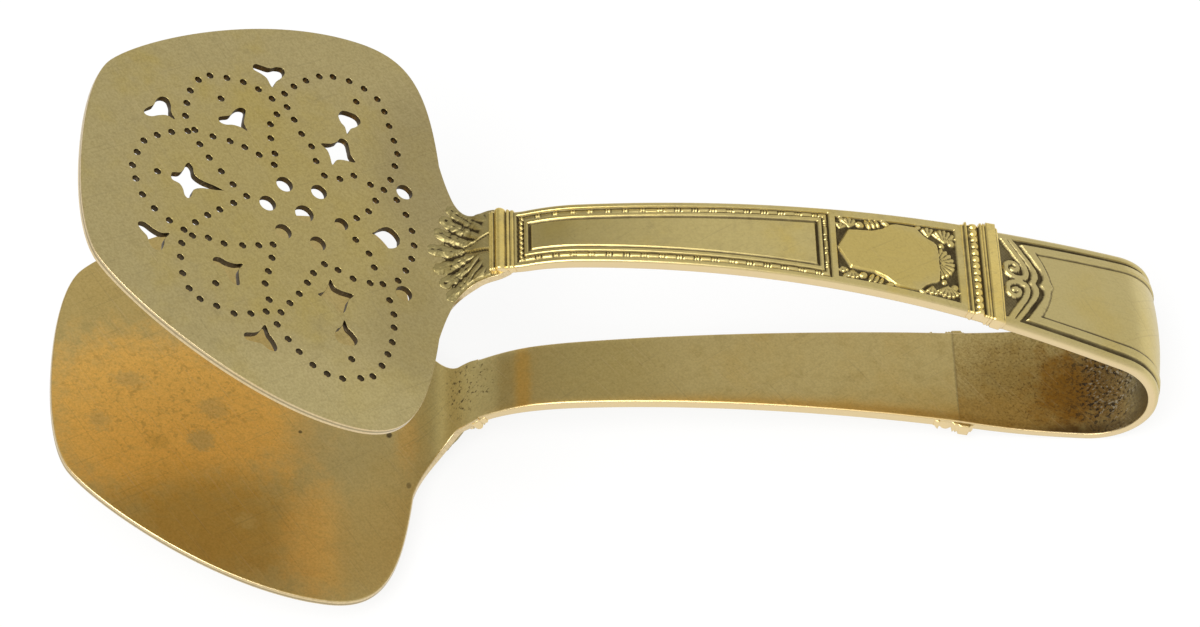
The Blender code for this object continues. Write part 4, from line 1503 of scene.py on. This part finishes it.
# Near-black walls of the holes: painted shade over dark patina, so that the holes look dark.
SHADED_HOLE_WALL = Brass("hole_wall_painted_shade", (0.08, 0.056, 0.026), (0.06, 0.04, 0.016), (0.04, 0.028, 0.013),
                  roughness=0.5)
UPPER_INNER = Brass("upper_inner_tarnish", (0.52, 0.41, 0.18), (0.54, 0.36, 0.11), BROWN, roughness=0.42)
NEAR_EDGE = Patch(80, -9.5, 46, 3.0, (0.66, 0.41, 0.10), 0.7, 0.4, soft=0.5)
SEAM_LINE = Patch(38.73, 0, 0.25, 14, (0.12, 0.09, 0.05), 0.4, 0.9, soft=0.6)
LOWER_INNER = Brass(
    "lower_inner_tarnish", (0.62, 0.49, 0.205), (0.62, 0.46, 0.165), (0.46, 0.35, 0.125), roughness=0.4,
    brush=(0.3, 0.9, 0.9), scuff=0.16, speckle=0.3, grit=0.4,
    stains_and_shade=(
        NEAR_EDGE, SEAM_LINE, Patch(120.0, -1, 1.6, 9, (0.71, 0.42, 0.085), 0.8, 0.45, soft=0.6),
        Patch(123.8, 0, 2.2, 9, (0.38, 0.285, 0.10), 0.5, 0.5, soft=0.6),
        Patch(129.5, 0, 4.5, 9, (0.55, 0.455, 0.19), 0.7, 0.4),
        Patch(137.6, 0, 6, 12, (0.64, 0.52, 0.2), 0.7, 0.2, soft=0.5),
        Patch(106, 0, 12, 12, (0.535, 0.415, 0.15), 0.7, 0.3, soft=0.6),
        Patch(206, 24, 13, 18, (0.60, 0.445, 0.16), 0.8, 0.4, soft=0.5),
        Patch(191, -6, 25, 16, ORANGE, 0.95, 0.5, soft=0.4),
        Patch(200, -16, 13, 10, ORANGE, 0.9, 0.5, soft=0.5),
        Patch(183, -31, 17, 11, BROWN, 0.8, 0.5, soft=0.55),
        Patch(158, -8, 10, 9, GREY_GREEN, 0.6, 0.5, soft=0.5),
        Patch(164, -31, 6, 11, (0.85, 0.53, 0.15), 0.85, 0.6, soft=0.6),
        Patch(152, -30, 9, 12, (0.62, 0.46, 0.17), 0.7, 0.5),
        Patch(146.5, -6, 2.0, 6, TAN, 0.55, 0.8, soft=0.7),
        Patch(186, -12.5, 2.4, 2.3, GREY_GREEN, 0.55, 0.8),
        Patch(184, -5, 2.6, 2.2, GREY_GREEN, 0.4, 1.2, soft=0.5),
        Patch(200, -1, 3.2, 1.7, GREY_GREEN, 0.4, 1.2, soft=0.5),
        Patch(205, -11, 2.0, 2.0, GREY_GREEN, 0.4, 1.2, soft=0.5),
        Patch(194, -14, 2.0, 1.4, BROWN, 0.4, 1.2, soft=0.5),
        Patch(177, -29, 2.2, 1.6, (0.66, 0.50, 0.19), 0.5, 1.0, soft=0.5),
        Patch(150, -5.8, 0.6, 0.6, SOOT, 0.85, 0.4), Patch(167.5, -7.5, 0.35, 0.35, SOOT, 0.8, 0.3),
        Patch(146, -17, 0.5, 0.7, SOOT, 0.5, 0.4)),
    pits=(Patch(132.2, 1.5, 6.0, 5.6, (0.09, 0.065, 0.03), 0.9, 0.4, 1.2, 0.56, 0.4),
          Patch(194, -4, 18, 15, (0.55, 0.33, 0.09), 0.6, 0.6, 0.9, 0.54, 0.5),
          Patch(180, 0, 30, 30, (0.34, 0.25, 0.09), 0.45, 0.5, 2.2, 0.6, 0.5)))
BOW_INNER = replace(
    LOWER_INNER, name="bow_inner_tarnish", roughness=0.44, brush=(1.2, 1.2, 1.2), grit=0.7,
    stains_and_shade=(NEAR_EDGE, SEAM_LINE, Patch(26, -3, 12, 12, (0.40, 0.26, 0.065), 0.8, 0.9, soft=0.7),
            Patch(31, -8, 13, 5, (0.50, 0.31, 0.075), 0.7, 0.8, soft=0.6),
            Patch(17, -2, 6.5, 9, RUST, 0.9, 1.1, soft=0.6),
            Patch(9.5, 0, 4.6, 14, (0.28, 0.17, 0.055), 0.8, 0.8, soft=0.5),
            Patch(2, 0, 4.5, 14, (0.30, 0.265, 0.16), 0.85, 0.5, soft=0.5),
            Patch(14, -12.5, 12, 2.6, (0.10, 0.065, 0.03), 0.7, 0.6, soft=0.5)),
    pits=(Patch(20, 0, 18, 15, (0.12, 0.065, 0.02), 0.65, 0.7, 2.1, 0.5, 0.7),
          Patch(11, -1, 7, 14, SOOT, 0.95, 0.8, 1.4, 0.51, 0.4),
          Patch(8.5, 2, 5.5, 12, ASH, 0.9, 0.7, 1.5, 0.56, 0.3)))


class Workshop:
    """Makes each finish once and hands it out."""

    def __init__(self) -> None:
        """Start with no finishes made."""
        self.made: dict[str, bpy.types.Material] = {}

    def __call__(self, finish: Brass) -> bpy.types.Material:
        """Material of a finish."""
        if finish.name not in self.made:
            self.made[finish.name] = finish.make()
        return self.made[finish.name]


def dress(piece: bpy.types.Object, slot: str, *nodes: str) -> None:
    """Hide the solids that a piece stands for, and report it."""
    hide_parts(*nodes)
    LOG.info("%s: %d faces", piece.name, len(piece.data.polygons))


@dataclass
class TongsHalf:
    """One half of the tongs: arm, cross band, collar, leaf, blade and its side of the bow."""

    line: StripLine
    workshop: Workshop
    grid: SkinGrid
    pierced: bool
    arm: ArmOrnament = ArmOrnament()
    bow: BowOrnament = BowOrnament()
    leaf: Acanthus = Acanthus()
    plan: BladePlan = BladePlan()
    trim_shift: float = 1.1
    taper_length: float = 12.0
    taper_gap: float = 1.0
    trim_sink: float = 0.3
    bow_round: float = 0.85
    hinge_reach: float = 8.0

    @property
    def label(self) -> str:
        """Prefix of this half's piece names."""
        return self.line.half.label

    @property
    def inner_finish(self) -> Brass:
        """Finish of the inner face from the arm to the blade."""
        return LOWER_INNER if self.line.half is Half.LOWER else UPPER_INNER

    def build(self) -> None:
        """Make and dress every piece of this half."""
        self.build_arm()
        self.build_moulding("cross_band", self.line.band_at + self.trim_shift, CROSS_BAND)
        self.build_moulding("neck_collar", self.line.collar_at + self.trim_shift, NECK_COLLAR)
        self.build_leaf()
        self.build_blade()
        self.build_bow()

    def finish(self, piece: bpy.types.Object, slot: str, *nodes: str) -> None:
        """Let a rigid piece ride on this half and stand for its solids."""
        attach(piece, self.line.half.body)
        dress(piece, slot, *nodes)

    def taper(self, seam: float, s: Array) -> Array:
        """Share of the way through the taper that ends just before a seam."""
        return smoothstep(seam - self.taper_length, seam - self.taper_gap, s)

    def inner_fall(self, s: Array) -> Array:
        """Rise of the inner face where the arm thins down to the blade's sheet at the neck."""
        sizes = self.line.sizes
        rise = (sizes.arm_thickness - sizes.blade_thickness) / 2
        return rise * self.taper(self.line.collar_at, s)

    def inner_step(self, s: Array) -> Array:
        """Fall of the bow's inner face to the thicker arm's at the cross band."""
        sizes = self.line.sizes
        fall = (sizes.bow_thickness - sizes.arm_thickness) / 2
        return fall * self.taper(self.line.band_at, s)

    def build_arm(self) -> None:
        """Struck arm from the cross band to the collar."""
        line = self.line
        start = line.band_at + self.trim_shift
        skin = self.grid.skin(line, (line.band_at, line.collar_at), line.sizes.arm_thickness,
                              lambda s, y, width: self.arm.height(s - start, y, width),
                              sink=self.inner_fall)
        finishes = [self.workshop(STRUCK), self.workshop(self.inner_finish)]
        piece = skin.build(self.label + "_struck_arm", line, finishes)
        self.finish(piece, "gilt_brass", self.label + "_arm")

    def build_moulding(self, name: str, at: float, moulding: CrossMoulding) -> None:
        """Soldered moulding across the outer face and round both edges.

        Args:
            name: node that it stands for, without the half's prefix.
            at: its seam along the strip.
            moulding: its members.
        """
        line = self.line
        span = (at + moulding.span[0], at + moulding.span[1])
        skin = self.grid.skin(line, span, line.sizes.arm_thickness,
                              lambda s, y, width: moulding.height(s - at, y),
                              grow=lambda s: moulding.grow(s - at),
                              sink=lambda s: self.trim_sink + self.inner_fall(s))
        finishes = [self.workshop(BAND_GILT), self.workshop(self.inner_finish)]
        piece = skin.build(f"{self.label}_{name}_moulding", line, finishes)
        self.finish(piece, "gilt_brass", f"{self.label}_{name}")

    def build_leaf(self) -> None:
        """Acanthus leaf from the collar over the gooseneck onto the blade's root."""
        line, leaf = self.line, self.leaf
        start = line.collar_at + self.trim_shift + NECK_COLLAR.span[1] - leaf.overlap - line.blade_at
        a_places = np.arange(start, leaf.reach, leaf.step)
        y_places = np.arange(-leaf.half_span, leaf.half_span + leaf.step, leaf.step)
        a, y = np.meshgrid(a_places, y_places, indexing="ij")
        stretch = line.bends.gooseneck / leaf.gooseneck
        flank = self.plan.root_half_width(line, a) - leaf.edge_gap
        height = leaf.height(np.where(a < 0, a / stretch, a), y, flank)
        shown = height > leaf.cut_level
        keep = shown[:-1, :-1] | shown[1:, :-1] | shown[:-1, 1:] | shown[1:, 1:]
        # The leaf's hollows take painted shade and patina from this recess.
        hollow = np.clip((blurred(height, leaf.hollow_reach) - height) / leaf.hollow_depth, 0, 1)
        recess = hollow * (height > leaf.hollow_level)
        top = line.sizes.blade_thickness / 2 + np.maximum(height, leaf.cut_level)
        base = -leaf.root_share * line.sizes.blade_thickness / 2
        name = self.label + "_acanthus_leaf"
        mesh = relief_mesh(name, line, line.blade_at + a, y, top, base, keep, recess)
        piece = add_piece(mesh.name, mesh, [self.workshop(LEAF_GILT)])
        self.finish(piece, "gilt_brass", self.label + "_leaf")

    def build_blade(self) -> None:
        """Blade and gooseneck, cut from one sheet, with the pierced figure on the upper one."""
        line, plan = self.line, self.plan
        name = self.label + ("_pierced_blade" if self.pierced else "_plain_blade")
        mesh = blade_mesh(name, line, plan, plan.holes() if self.pierced else [])
        finishes = (BLADE_OUTER, self.inner_finish, EDGE, SHADED_HOLE_WALL)
        piece = add_piece(name, mesh, [self.workshop(finish) for finish in finishes])
        self.finish(piece, "blade_brass", self.label + "_blade")

    def build_bow(self) -> None:
        """This half's side of the spring bow."""
        line = self.line
        grid = replace(self.grid, outer_round=self.bow_round)
        skin = grid.skin(line, (0.0, line.band_at), line.sizes.bow_thickness,
                         lambda s, y, width: self.bow.height(line.band_at + self.trim_shift - s, y, width),
                         sink=self.inner_step)
        finishes = [self.workshop(BOW_OUTER), self.workshop(BOW_INNER)]
        piece = skin.build(self.label + "_bow_panel", line, finishes)
        hinge = line.place(np.array(line.sizes.bow_half), np.array(0.0), np.array(0.0))
        line.half.body
        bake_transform(piece)
        dress(piece, "bow_brass", "bow", self.label + "_bow_leg")


def relief_mesh(name: str, line: StripLine, s: Array, y: Array, t: Array, base: float, keep: Array,
                recess: Array) -> bpy.types.Mesh:
    """Closed mesh of a relief over a flat base.

    Args:
        name: name of the mesh.
        line: line that it is bent onto.
        s: places along the strip.
        y: places across it.
        t: top surface over the strip's middle.
        base: level of the underside.
        keep: which cells belong to the relief.
        recess: painted shade and patina in the hollows.

    Returns:
        The new mesh.
    """
    rows, columns = s.shape
    index = np.arange(rows * columns).reshape(rows, columns)
    corners = [index[:-1, :-1], index[1:, :-1], index[1:, 1:], index[:-1, 1:]]
    top = np.stack([corner[keep] for corner in corners], -1)
    count = rows * columns
    bottom = top[:, ::-1] + count
    edges: dict[tuple[int, int], tuple[int, int]] = {}
    for face in top.tolist():
        for a, b in zip(face, face[1:] + face[:1]):
            if (b, a) in edges:
                del edges[(b, a)]
            else:
                edges[(a, b)] = (a, b)
    walls = [[b, a, a + count, b + count] for a, b in edges.values()]
    under = np.full_like(t, base)
    points = np.concatenate([line.place(s, y, level).reshape(-1, 3) for level in (t, under)])
    faces = top.tolist() + bottom.tolist() + walls
    if line.half is Half.UPPER:
        faces = [face[::-1] for face in faces]
    mesh = bpy.data.meshes.new(name)
    mesh.from_pydata(points.tolist(), [], faces)
    mesh.polygons.foreach_set("use_smooth", np.ones(len(mesh.polygons), bool))
    set_attribute(mesh, "recess", np.concatenate([recess.reshape(-1), np.zeros(count)]))
    set_attribute(mesh, "edge", np.zeros(2 * count))
    flat = np.concatenate([np.stack([s, y, level], -1).reshape(-1, 3) for level in (t, under)])
    set_strip_attribute(mesh, flat)
    bm = bmesh.new()
    bm.from_mesh(mesh)
    bmesh.ops.delete(bm, geom=[v for v in bm.verts if not v.link_faces], context="VERTS")
    bmesh.ops.recalc_face_normals(bm, faces=bm.faces)
    bm.to_mesh(mesh)
    bm.free()
    return mesh


BEVEL_STEPS = 2
WELD = 1e-4
CUT_WELD = 1e-5
CUT_PITCH = 0.4
END_REACH = 1.1
HOLE_MARGIN = 0.2
FLAT_TILT = 0.9
WALL_TILT = 0.5


def blade_mesh(name: str, line: StripLine, plan: BladePlan, holes: Sequence[Array]) -> bpy.types.Mesh:
    """Mesh of a blade: a filled plan with eased edges, cut finely across its bends and folded onto its line.

    Args:
        name: name of the mesh.
        line: the half's line.
        plan: outline of the blade.
        holes: outlines of the holes.

    Returns:
        The new mesh.
    """
    curve = bpy.data.curves.new(name, "CURVE")
    curve.dimensions = "2D"
    curve.fill_mode = "BOTH"
    curve.resolution_u = CURVE_STEPS
    bevel = plan.edge_bevel if not holes else plan.hole_bevel
    curve.extrude = line.sizes.blade_thickness / 2 - bevel
    curve.bevel_depth = bevel
    curve.bevel_resolution = BEVEL_STEPS
    curve.offset = -bevel
    corners = plan.outline(line)
    spline = curve.splines.new("BEZIER")
    spline.bezier_points.add(len(corners) - 1)
    for target, (point, before, after) in zip(spline.bezier_points, corners):
        target.handle_left_type = target.handle_right_type = "FREE"
        target.co, target.handle_left, target.handle_right = (*point, 0), (*before, 0), (*after, 0)
    spline.use_cyclic_u = True
    for hole in holes:
        ring = curve.splines.new("POLY")
        ring.points.add(len(hole) - 1)
        for target, (a, y) in zip(ring.points, hole):
            target.co = (a, y, 0, 1)
        ring.use_cyclic_u = True
    source = bpy.data.objects.new(name + "_plan", curve)
    bpy.context.scene.collection.objects.link(source)
    bpy.context.view_layer.update()
    mesh = bpy.data.meshes.new_from_object(source.evaluated_get(bpy.context.evaluated_depsgraph_get()))
    mesh.name = name
    mesh.materials.clear()
    bpy.data.objects.remove(source)
    fold_blade(mesh, line, holes, bevel)
    return mesh


def fold_blade(mesh: bpy.types.Mesh, line: StripLine, holes: Sequence[Array], bevel: float) -> None:
    """Weld a flat blade, cut it across its bends, sort its faces by finish and fold it onto its line.

    Args:
        mesh: the flat blade.
        line: the half's line.
        holes: outlines of its holes.
        bevel: width of the eased edge, which the end at the collar doesn't have.
    """
    middles = np.array([hole.mean(axis=0) for hole in holes]).reshape(-1, 2)
    reaches = np.array([np.hypot(*(hole - hole.mean(axis=0)).T).max() + HOLE_MARGIN for hole in holes])
    bm = bmesh.new()
    bm.from_mesh(mesh)
    bmesh.ops.remove_doubles(bm, verts=bm.verts, dist=WELD)
    seam = line.collar_at - line.blade_at
    for vertex in bm.verts:
        if vertex.co.x < seam + END_REACH * bevel:
            vertex.co.x = seam
    for a in np.arange(seam + CUT_PITCH, line.settled + CUT_PITCH / 2, CUT_PITCH):
        geometry = bm.verts[:] + bm.edges[:] + bm.faces[:]
        bmesh.ops.bisect_plane(bm, geom=geometry, dist=CUT_WELD, plane_co=(a, 0, 0), plane_no=(1, 0, 0))
    bmesh.ops.recalc_face_normals(bm, faces=bm.faces)
    for face in bm.faces:
        across, centre = face.normal.z, face.calc_center_median()
        gaps = np.hypot(middles[:, 0] - centre.x, middles[:, 1] - centre.y)
        at_hole = bool(np.any(gaps < reaches)) and abs(across) < FLAT_TILT
        kind = Face.OUTER if across > FLAT_TILT else Face.INNER if across < -FLAT_TILT else Face.EDGE
        if at_hole:
            kind = Face.WALL if abs(across) < WALL_TILT else Face.OUTER
        face.material_index = kind.value
        face.smooth = centre.x < line.settled or abs(across) < FLAT_TILT
    end = [face for face in bm.faces if face.calc_center_median().x < seam + WELD]
    around = {edge for face in end for edge in face.edges}
    rim = [edge for edge in around if any(face not in end for face in edge.link_faces)]
    bmesh.ops.split_edges(bm, edges=rim)
    bm.verts.index_update()
    places = np.array([v.co for v in bm.verts])
    world = line.place(places[:, 0] + line.blade_at, places[:, 1], places[:, 2])
    for vertex, point in zip(bm.verts, world):
        vertex.co = point
    if line.half is Half.UPPER:
        bmesh.ops.reverse_faces(bm, faces=bm.faces)
    bm.to_mesh(mesh)
    bm.free()
    places[:, 0] += line.blade_at
    set_strip_attribute(mesh, places)
    set_attribute(mesh, "recess", np.zeros(len(places)))
    set_attribute(mesh, "edge", np.zeros(len(places)))


@dataclass(frozen=True)
class Studio:
    """Pale floor, soft studio light and the camera at the photograph's viewing angle."""

    camera_at: tuple[float, float, float] = (0.03823, -0.45937, 0.64129)
    azimuth: float = -1.4
    elevation: float = 53.0
    roll_with_stand: float = 4.62
    lens: float = 126.0
    sensor: float = 36.0
    near_clip: float = 0.01
    floor_size: float = 4.0
    floor_colour: Colour = (0.95, 0.95, 0.94)
    floor_rough: float = 0.9
    floor_gap: float = 0.1
    floor_white: float = 0.86
    sky_colour: Colour = (1.0, 0.99, 0.97)
    sky_strength: float = 0.72
    sky_low: float = 0.4
    dim_towards: tuple[float, float, float] = (-0.3, 0.55, 0.8)
    dim_reach: tuple[float, float] = (0.86, 0.97)
    key_power: float = 52.0
    key_size: float = 1.6
    key_at: tuple[float, float, float] = (-0.5, -1.2, 2.2)

    def build(self) -> None:
        """Make the floor, the lights, the sky and the camera."""
        self.build_floor()
        self.build_light()
        self.build_sky()
        self.build_camera()
        bpy.context.scene.view_settings.view_transform = "Standard"

    def build_floor(self) -> None:
        """Plain pale floor under the tongs."""
        bm = bmesh.new()
        bmesh.ops.create_grid(bm, x_segments=1, y_segments=1, size=self.floor_size / 2)
        mesh = bpy.data.meshes.new("floor")
        bm.to_mesh(mesh)
        bm.free()
        nodes = Nodes("pale_floor")
        nodes.shader.inputs["Base Color"].default_value = (*self.floor_colour, 1.0)
        nodes.shader.inputs["Roughness"].default_value = self.floor_rough
        nodes.shader.inputs["Specular IOR Level"].default_value = 0.0
        self.whiten(nodes)
        floor = add_piece("floor", mesh, [nodes.material])
        floor.location.z = -self.floor_gap * MM

    def whiten(self, nodes: Nodes) -> None:
        """Let the floor show near white to the camera and in the metal, with part of its shadow kept."""
        paths = nodes.add("ShaderNodeLightPath")
        seen = nodes.math("MAXIMUM", paths.outputs["Is Camera Ray"], paths.outputs["Is Glossy Ray"])
        seen = nodes.math("MAXIMUM", seen, paths.outputs["Is Transmission Ray"])
        white = nodes.add("ShaderNodeEmission")
        mix = nodes.add("ShaderNodeMixShader")
        nodes.link(nodes.times(seen, self.floor_white), mix.inputs[0])
        nodes.link(nodes.shader.outputs[0], mix.inputs[1])
        nodes.link(white.outputs[0], mix.inputs[2])
        nodes.link(mix.outputs[0], nodes.tree.nodes["Material Output"].inputs["Surface"])

    def build_light(self) -> None:
        """Large soft box in front of and above the tongs."""
        light = bpy.data.lights.new("soft_box", "AREA")
        light.shape = "SQUARE"
        light.size = self.key_size
        light.energy = self.key_power
        lamp = bpy.data.objects.new("soft_box", light)
        bpy.context.scene.collection.objects.link(lamp)
        lamp.location = self.key_at
        lamp.rotation_euler = (-Vector(self.key_at)).to_track_quat("-Z", "Y").to_euler()

    def build_sky(self) -> None:
        """Pale surround with a dimmer place behind and to the left."""
        world = bpy.data.worlds.new("studio")
        bpy.context.scene.world = world
        world.use_nodes = True
        tree = world.node_tree
        background = tree.nodes["Background"]
        background.inputs["Color"].default_value = (*self.sky_colour, 1.0)
        direction = tree.nodes.new("ShaderNodeTexCoord")
        nearness = tree.nodes.new("ShaderNodeVectorMath")
        nearness.operation = "DOT_PRODUCT"
        nearness.inputs[1].default_value = Vector(self.dim_towards).normalized()
        tree.links.new(direction.outputs["Generated"], nearness.inputs[0])
        level = tree.nodes.new("ShaderNodeMapRange")
        level.interpolation_type = "SMOOTHSTEP"
        level.inputs["From Min"].default_value = self.dim_reach[0]
        level.inputs["From Max"].default_value = self.dim_reach[1]
        level.inputs["To Min"].default_value = self.sky_strength
        level.inputs["To Max"].default_value = self.sky_low
        tree.links.new(nearness.outputs["Value"], level.inputs["Value"])
        tree.links.new(level.outputs["Result"], background.inputs["Strength"])

    def build_camera(self) -> None:
        """Camera at the photograph's viewing angle."""
        lens = bpy.data.cameras.new("camera")
        lens.lens = self.lens
        lens.sensor_width = self.sensor
        lens.clip_start = self.near_clip
        camera = bpy.data.objects.new("camera", lens)
        bpy.context.scene.collection.objects.link(camera)
        turn, lift = math.radians(self.azimuth), math.radians(self.elevation)
        back = Vector((math.sin(turn) * math.cos(lift), -math.cos(turn) * math.cos(lift), math.sin(lift)))
        right = Vector((math.cos(turn), math.sin(turn), 0.0))
        axes = Matrix((right, back.cross(right), back)).transposed()
        axes = Matrix.Rotation(math.radians(self.roll_with_stand), 3, "Y") @ axes
        camera.matrix_world = Matrix.Translation(self.camera_at) @ axes.to_4x4()
        bpy.context.scene.camera = camera


def seated(upper: StripLine, lower: StripLine) -> Seat:
    """Seat of the strips on the table, from the frame's two bending lines.

    Args:
        upper: the upper line, not yet seated.
        lower: the lower line, not yet seated.

    Returns:
        The seat that both lines share.
    """
    places = {joint["name"]: joint["pos_m"] for joint in frame["joints"]}
    ends = []
    for line in (lower, upper):
        x, z, _ = line.run(np.array(line.sizes.bow_half))
        ends.append((float(x), float(z)))
    seats = [(places[name][0] / MM, places[name][2] / MM) for name in ("lower_bow_bend", "upper_bow_bend")]
    angles = [math.atan2(b[1] - a[1], b[0] - a[0]) for a, b in (ends, seats)]
    tilt = angles[0] - angles[1]
    cos, sin = math.cos(tilt), math.sin(tilt)
    (x, z), (seat_x, seat_z) = ends[0], seats[0]
    return Seat(tilt, seat_x - (x * cos + z * sin), seat_z - (-x * sin + z * cos))


UPPER_LINE = StripLine(
    Half.UPPER, Bends(flare=4.0, arch=23.6, neck=32.18, heel=-59.38, leg=27.6, gooseneck=11.98),
    StripSizes(neck_length=19.08, heel_length=5.5), lift=1.5)
LOWER_LINE = StripLine(
    Half.LOWER, Bends(flare=9.9, arch=-15.58, neck=-63.83, heel=85.72, leg=23.4, gooseneck=13.55),
    StripSizes(arm_length=90.73, neck_length=16.98, heel_length=6.0, neck_width=13.4),
    sideset=1.0, settled=18.0, curve=NeckCurve(-21.63, 18.0, (2.0, 1.9)))
PLAIN_PLAN = BladePlan(
    width=88.2, tip_width=45.6, tip_reach=1.3, root_share=0.57, root_ease=0.13, root_grow=0.5)
COARSE_GRID = SkinGrid(step=0.28, border_step=0.2, middle_columns=40)


def main() -> None:
    """Build both halves and the studio."""
    logging.basicConfig(level=logging.INFO, format="%(message)s")
    seat = seated(UPPER_LINE, LOWER_LINE)
    workshop = Workshop()
    halves = ((UPPER_LINE, SkinGrid(), BladePlan()), (LOWER_LINE, COARSE_GRID, PLAIN_PLAN))
    for line, grid, plan in halves:
        pierced = line.half is Half.UPPER
        TongsHalf(replace(line, seat=seat), workshop, grid, pierced, plan=plan).build()
    Studio().build()


if __name__ == "__main__":
    main()
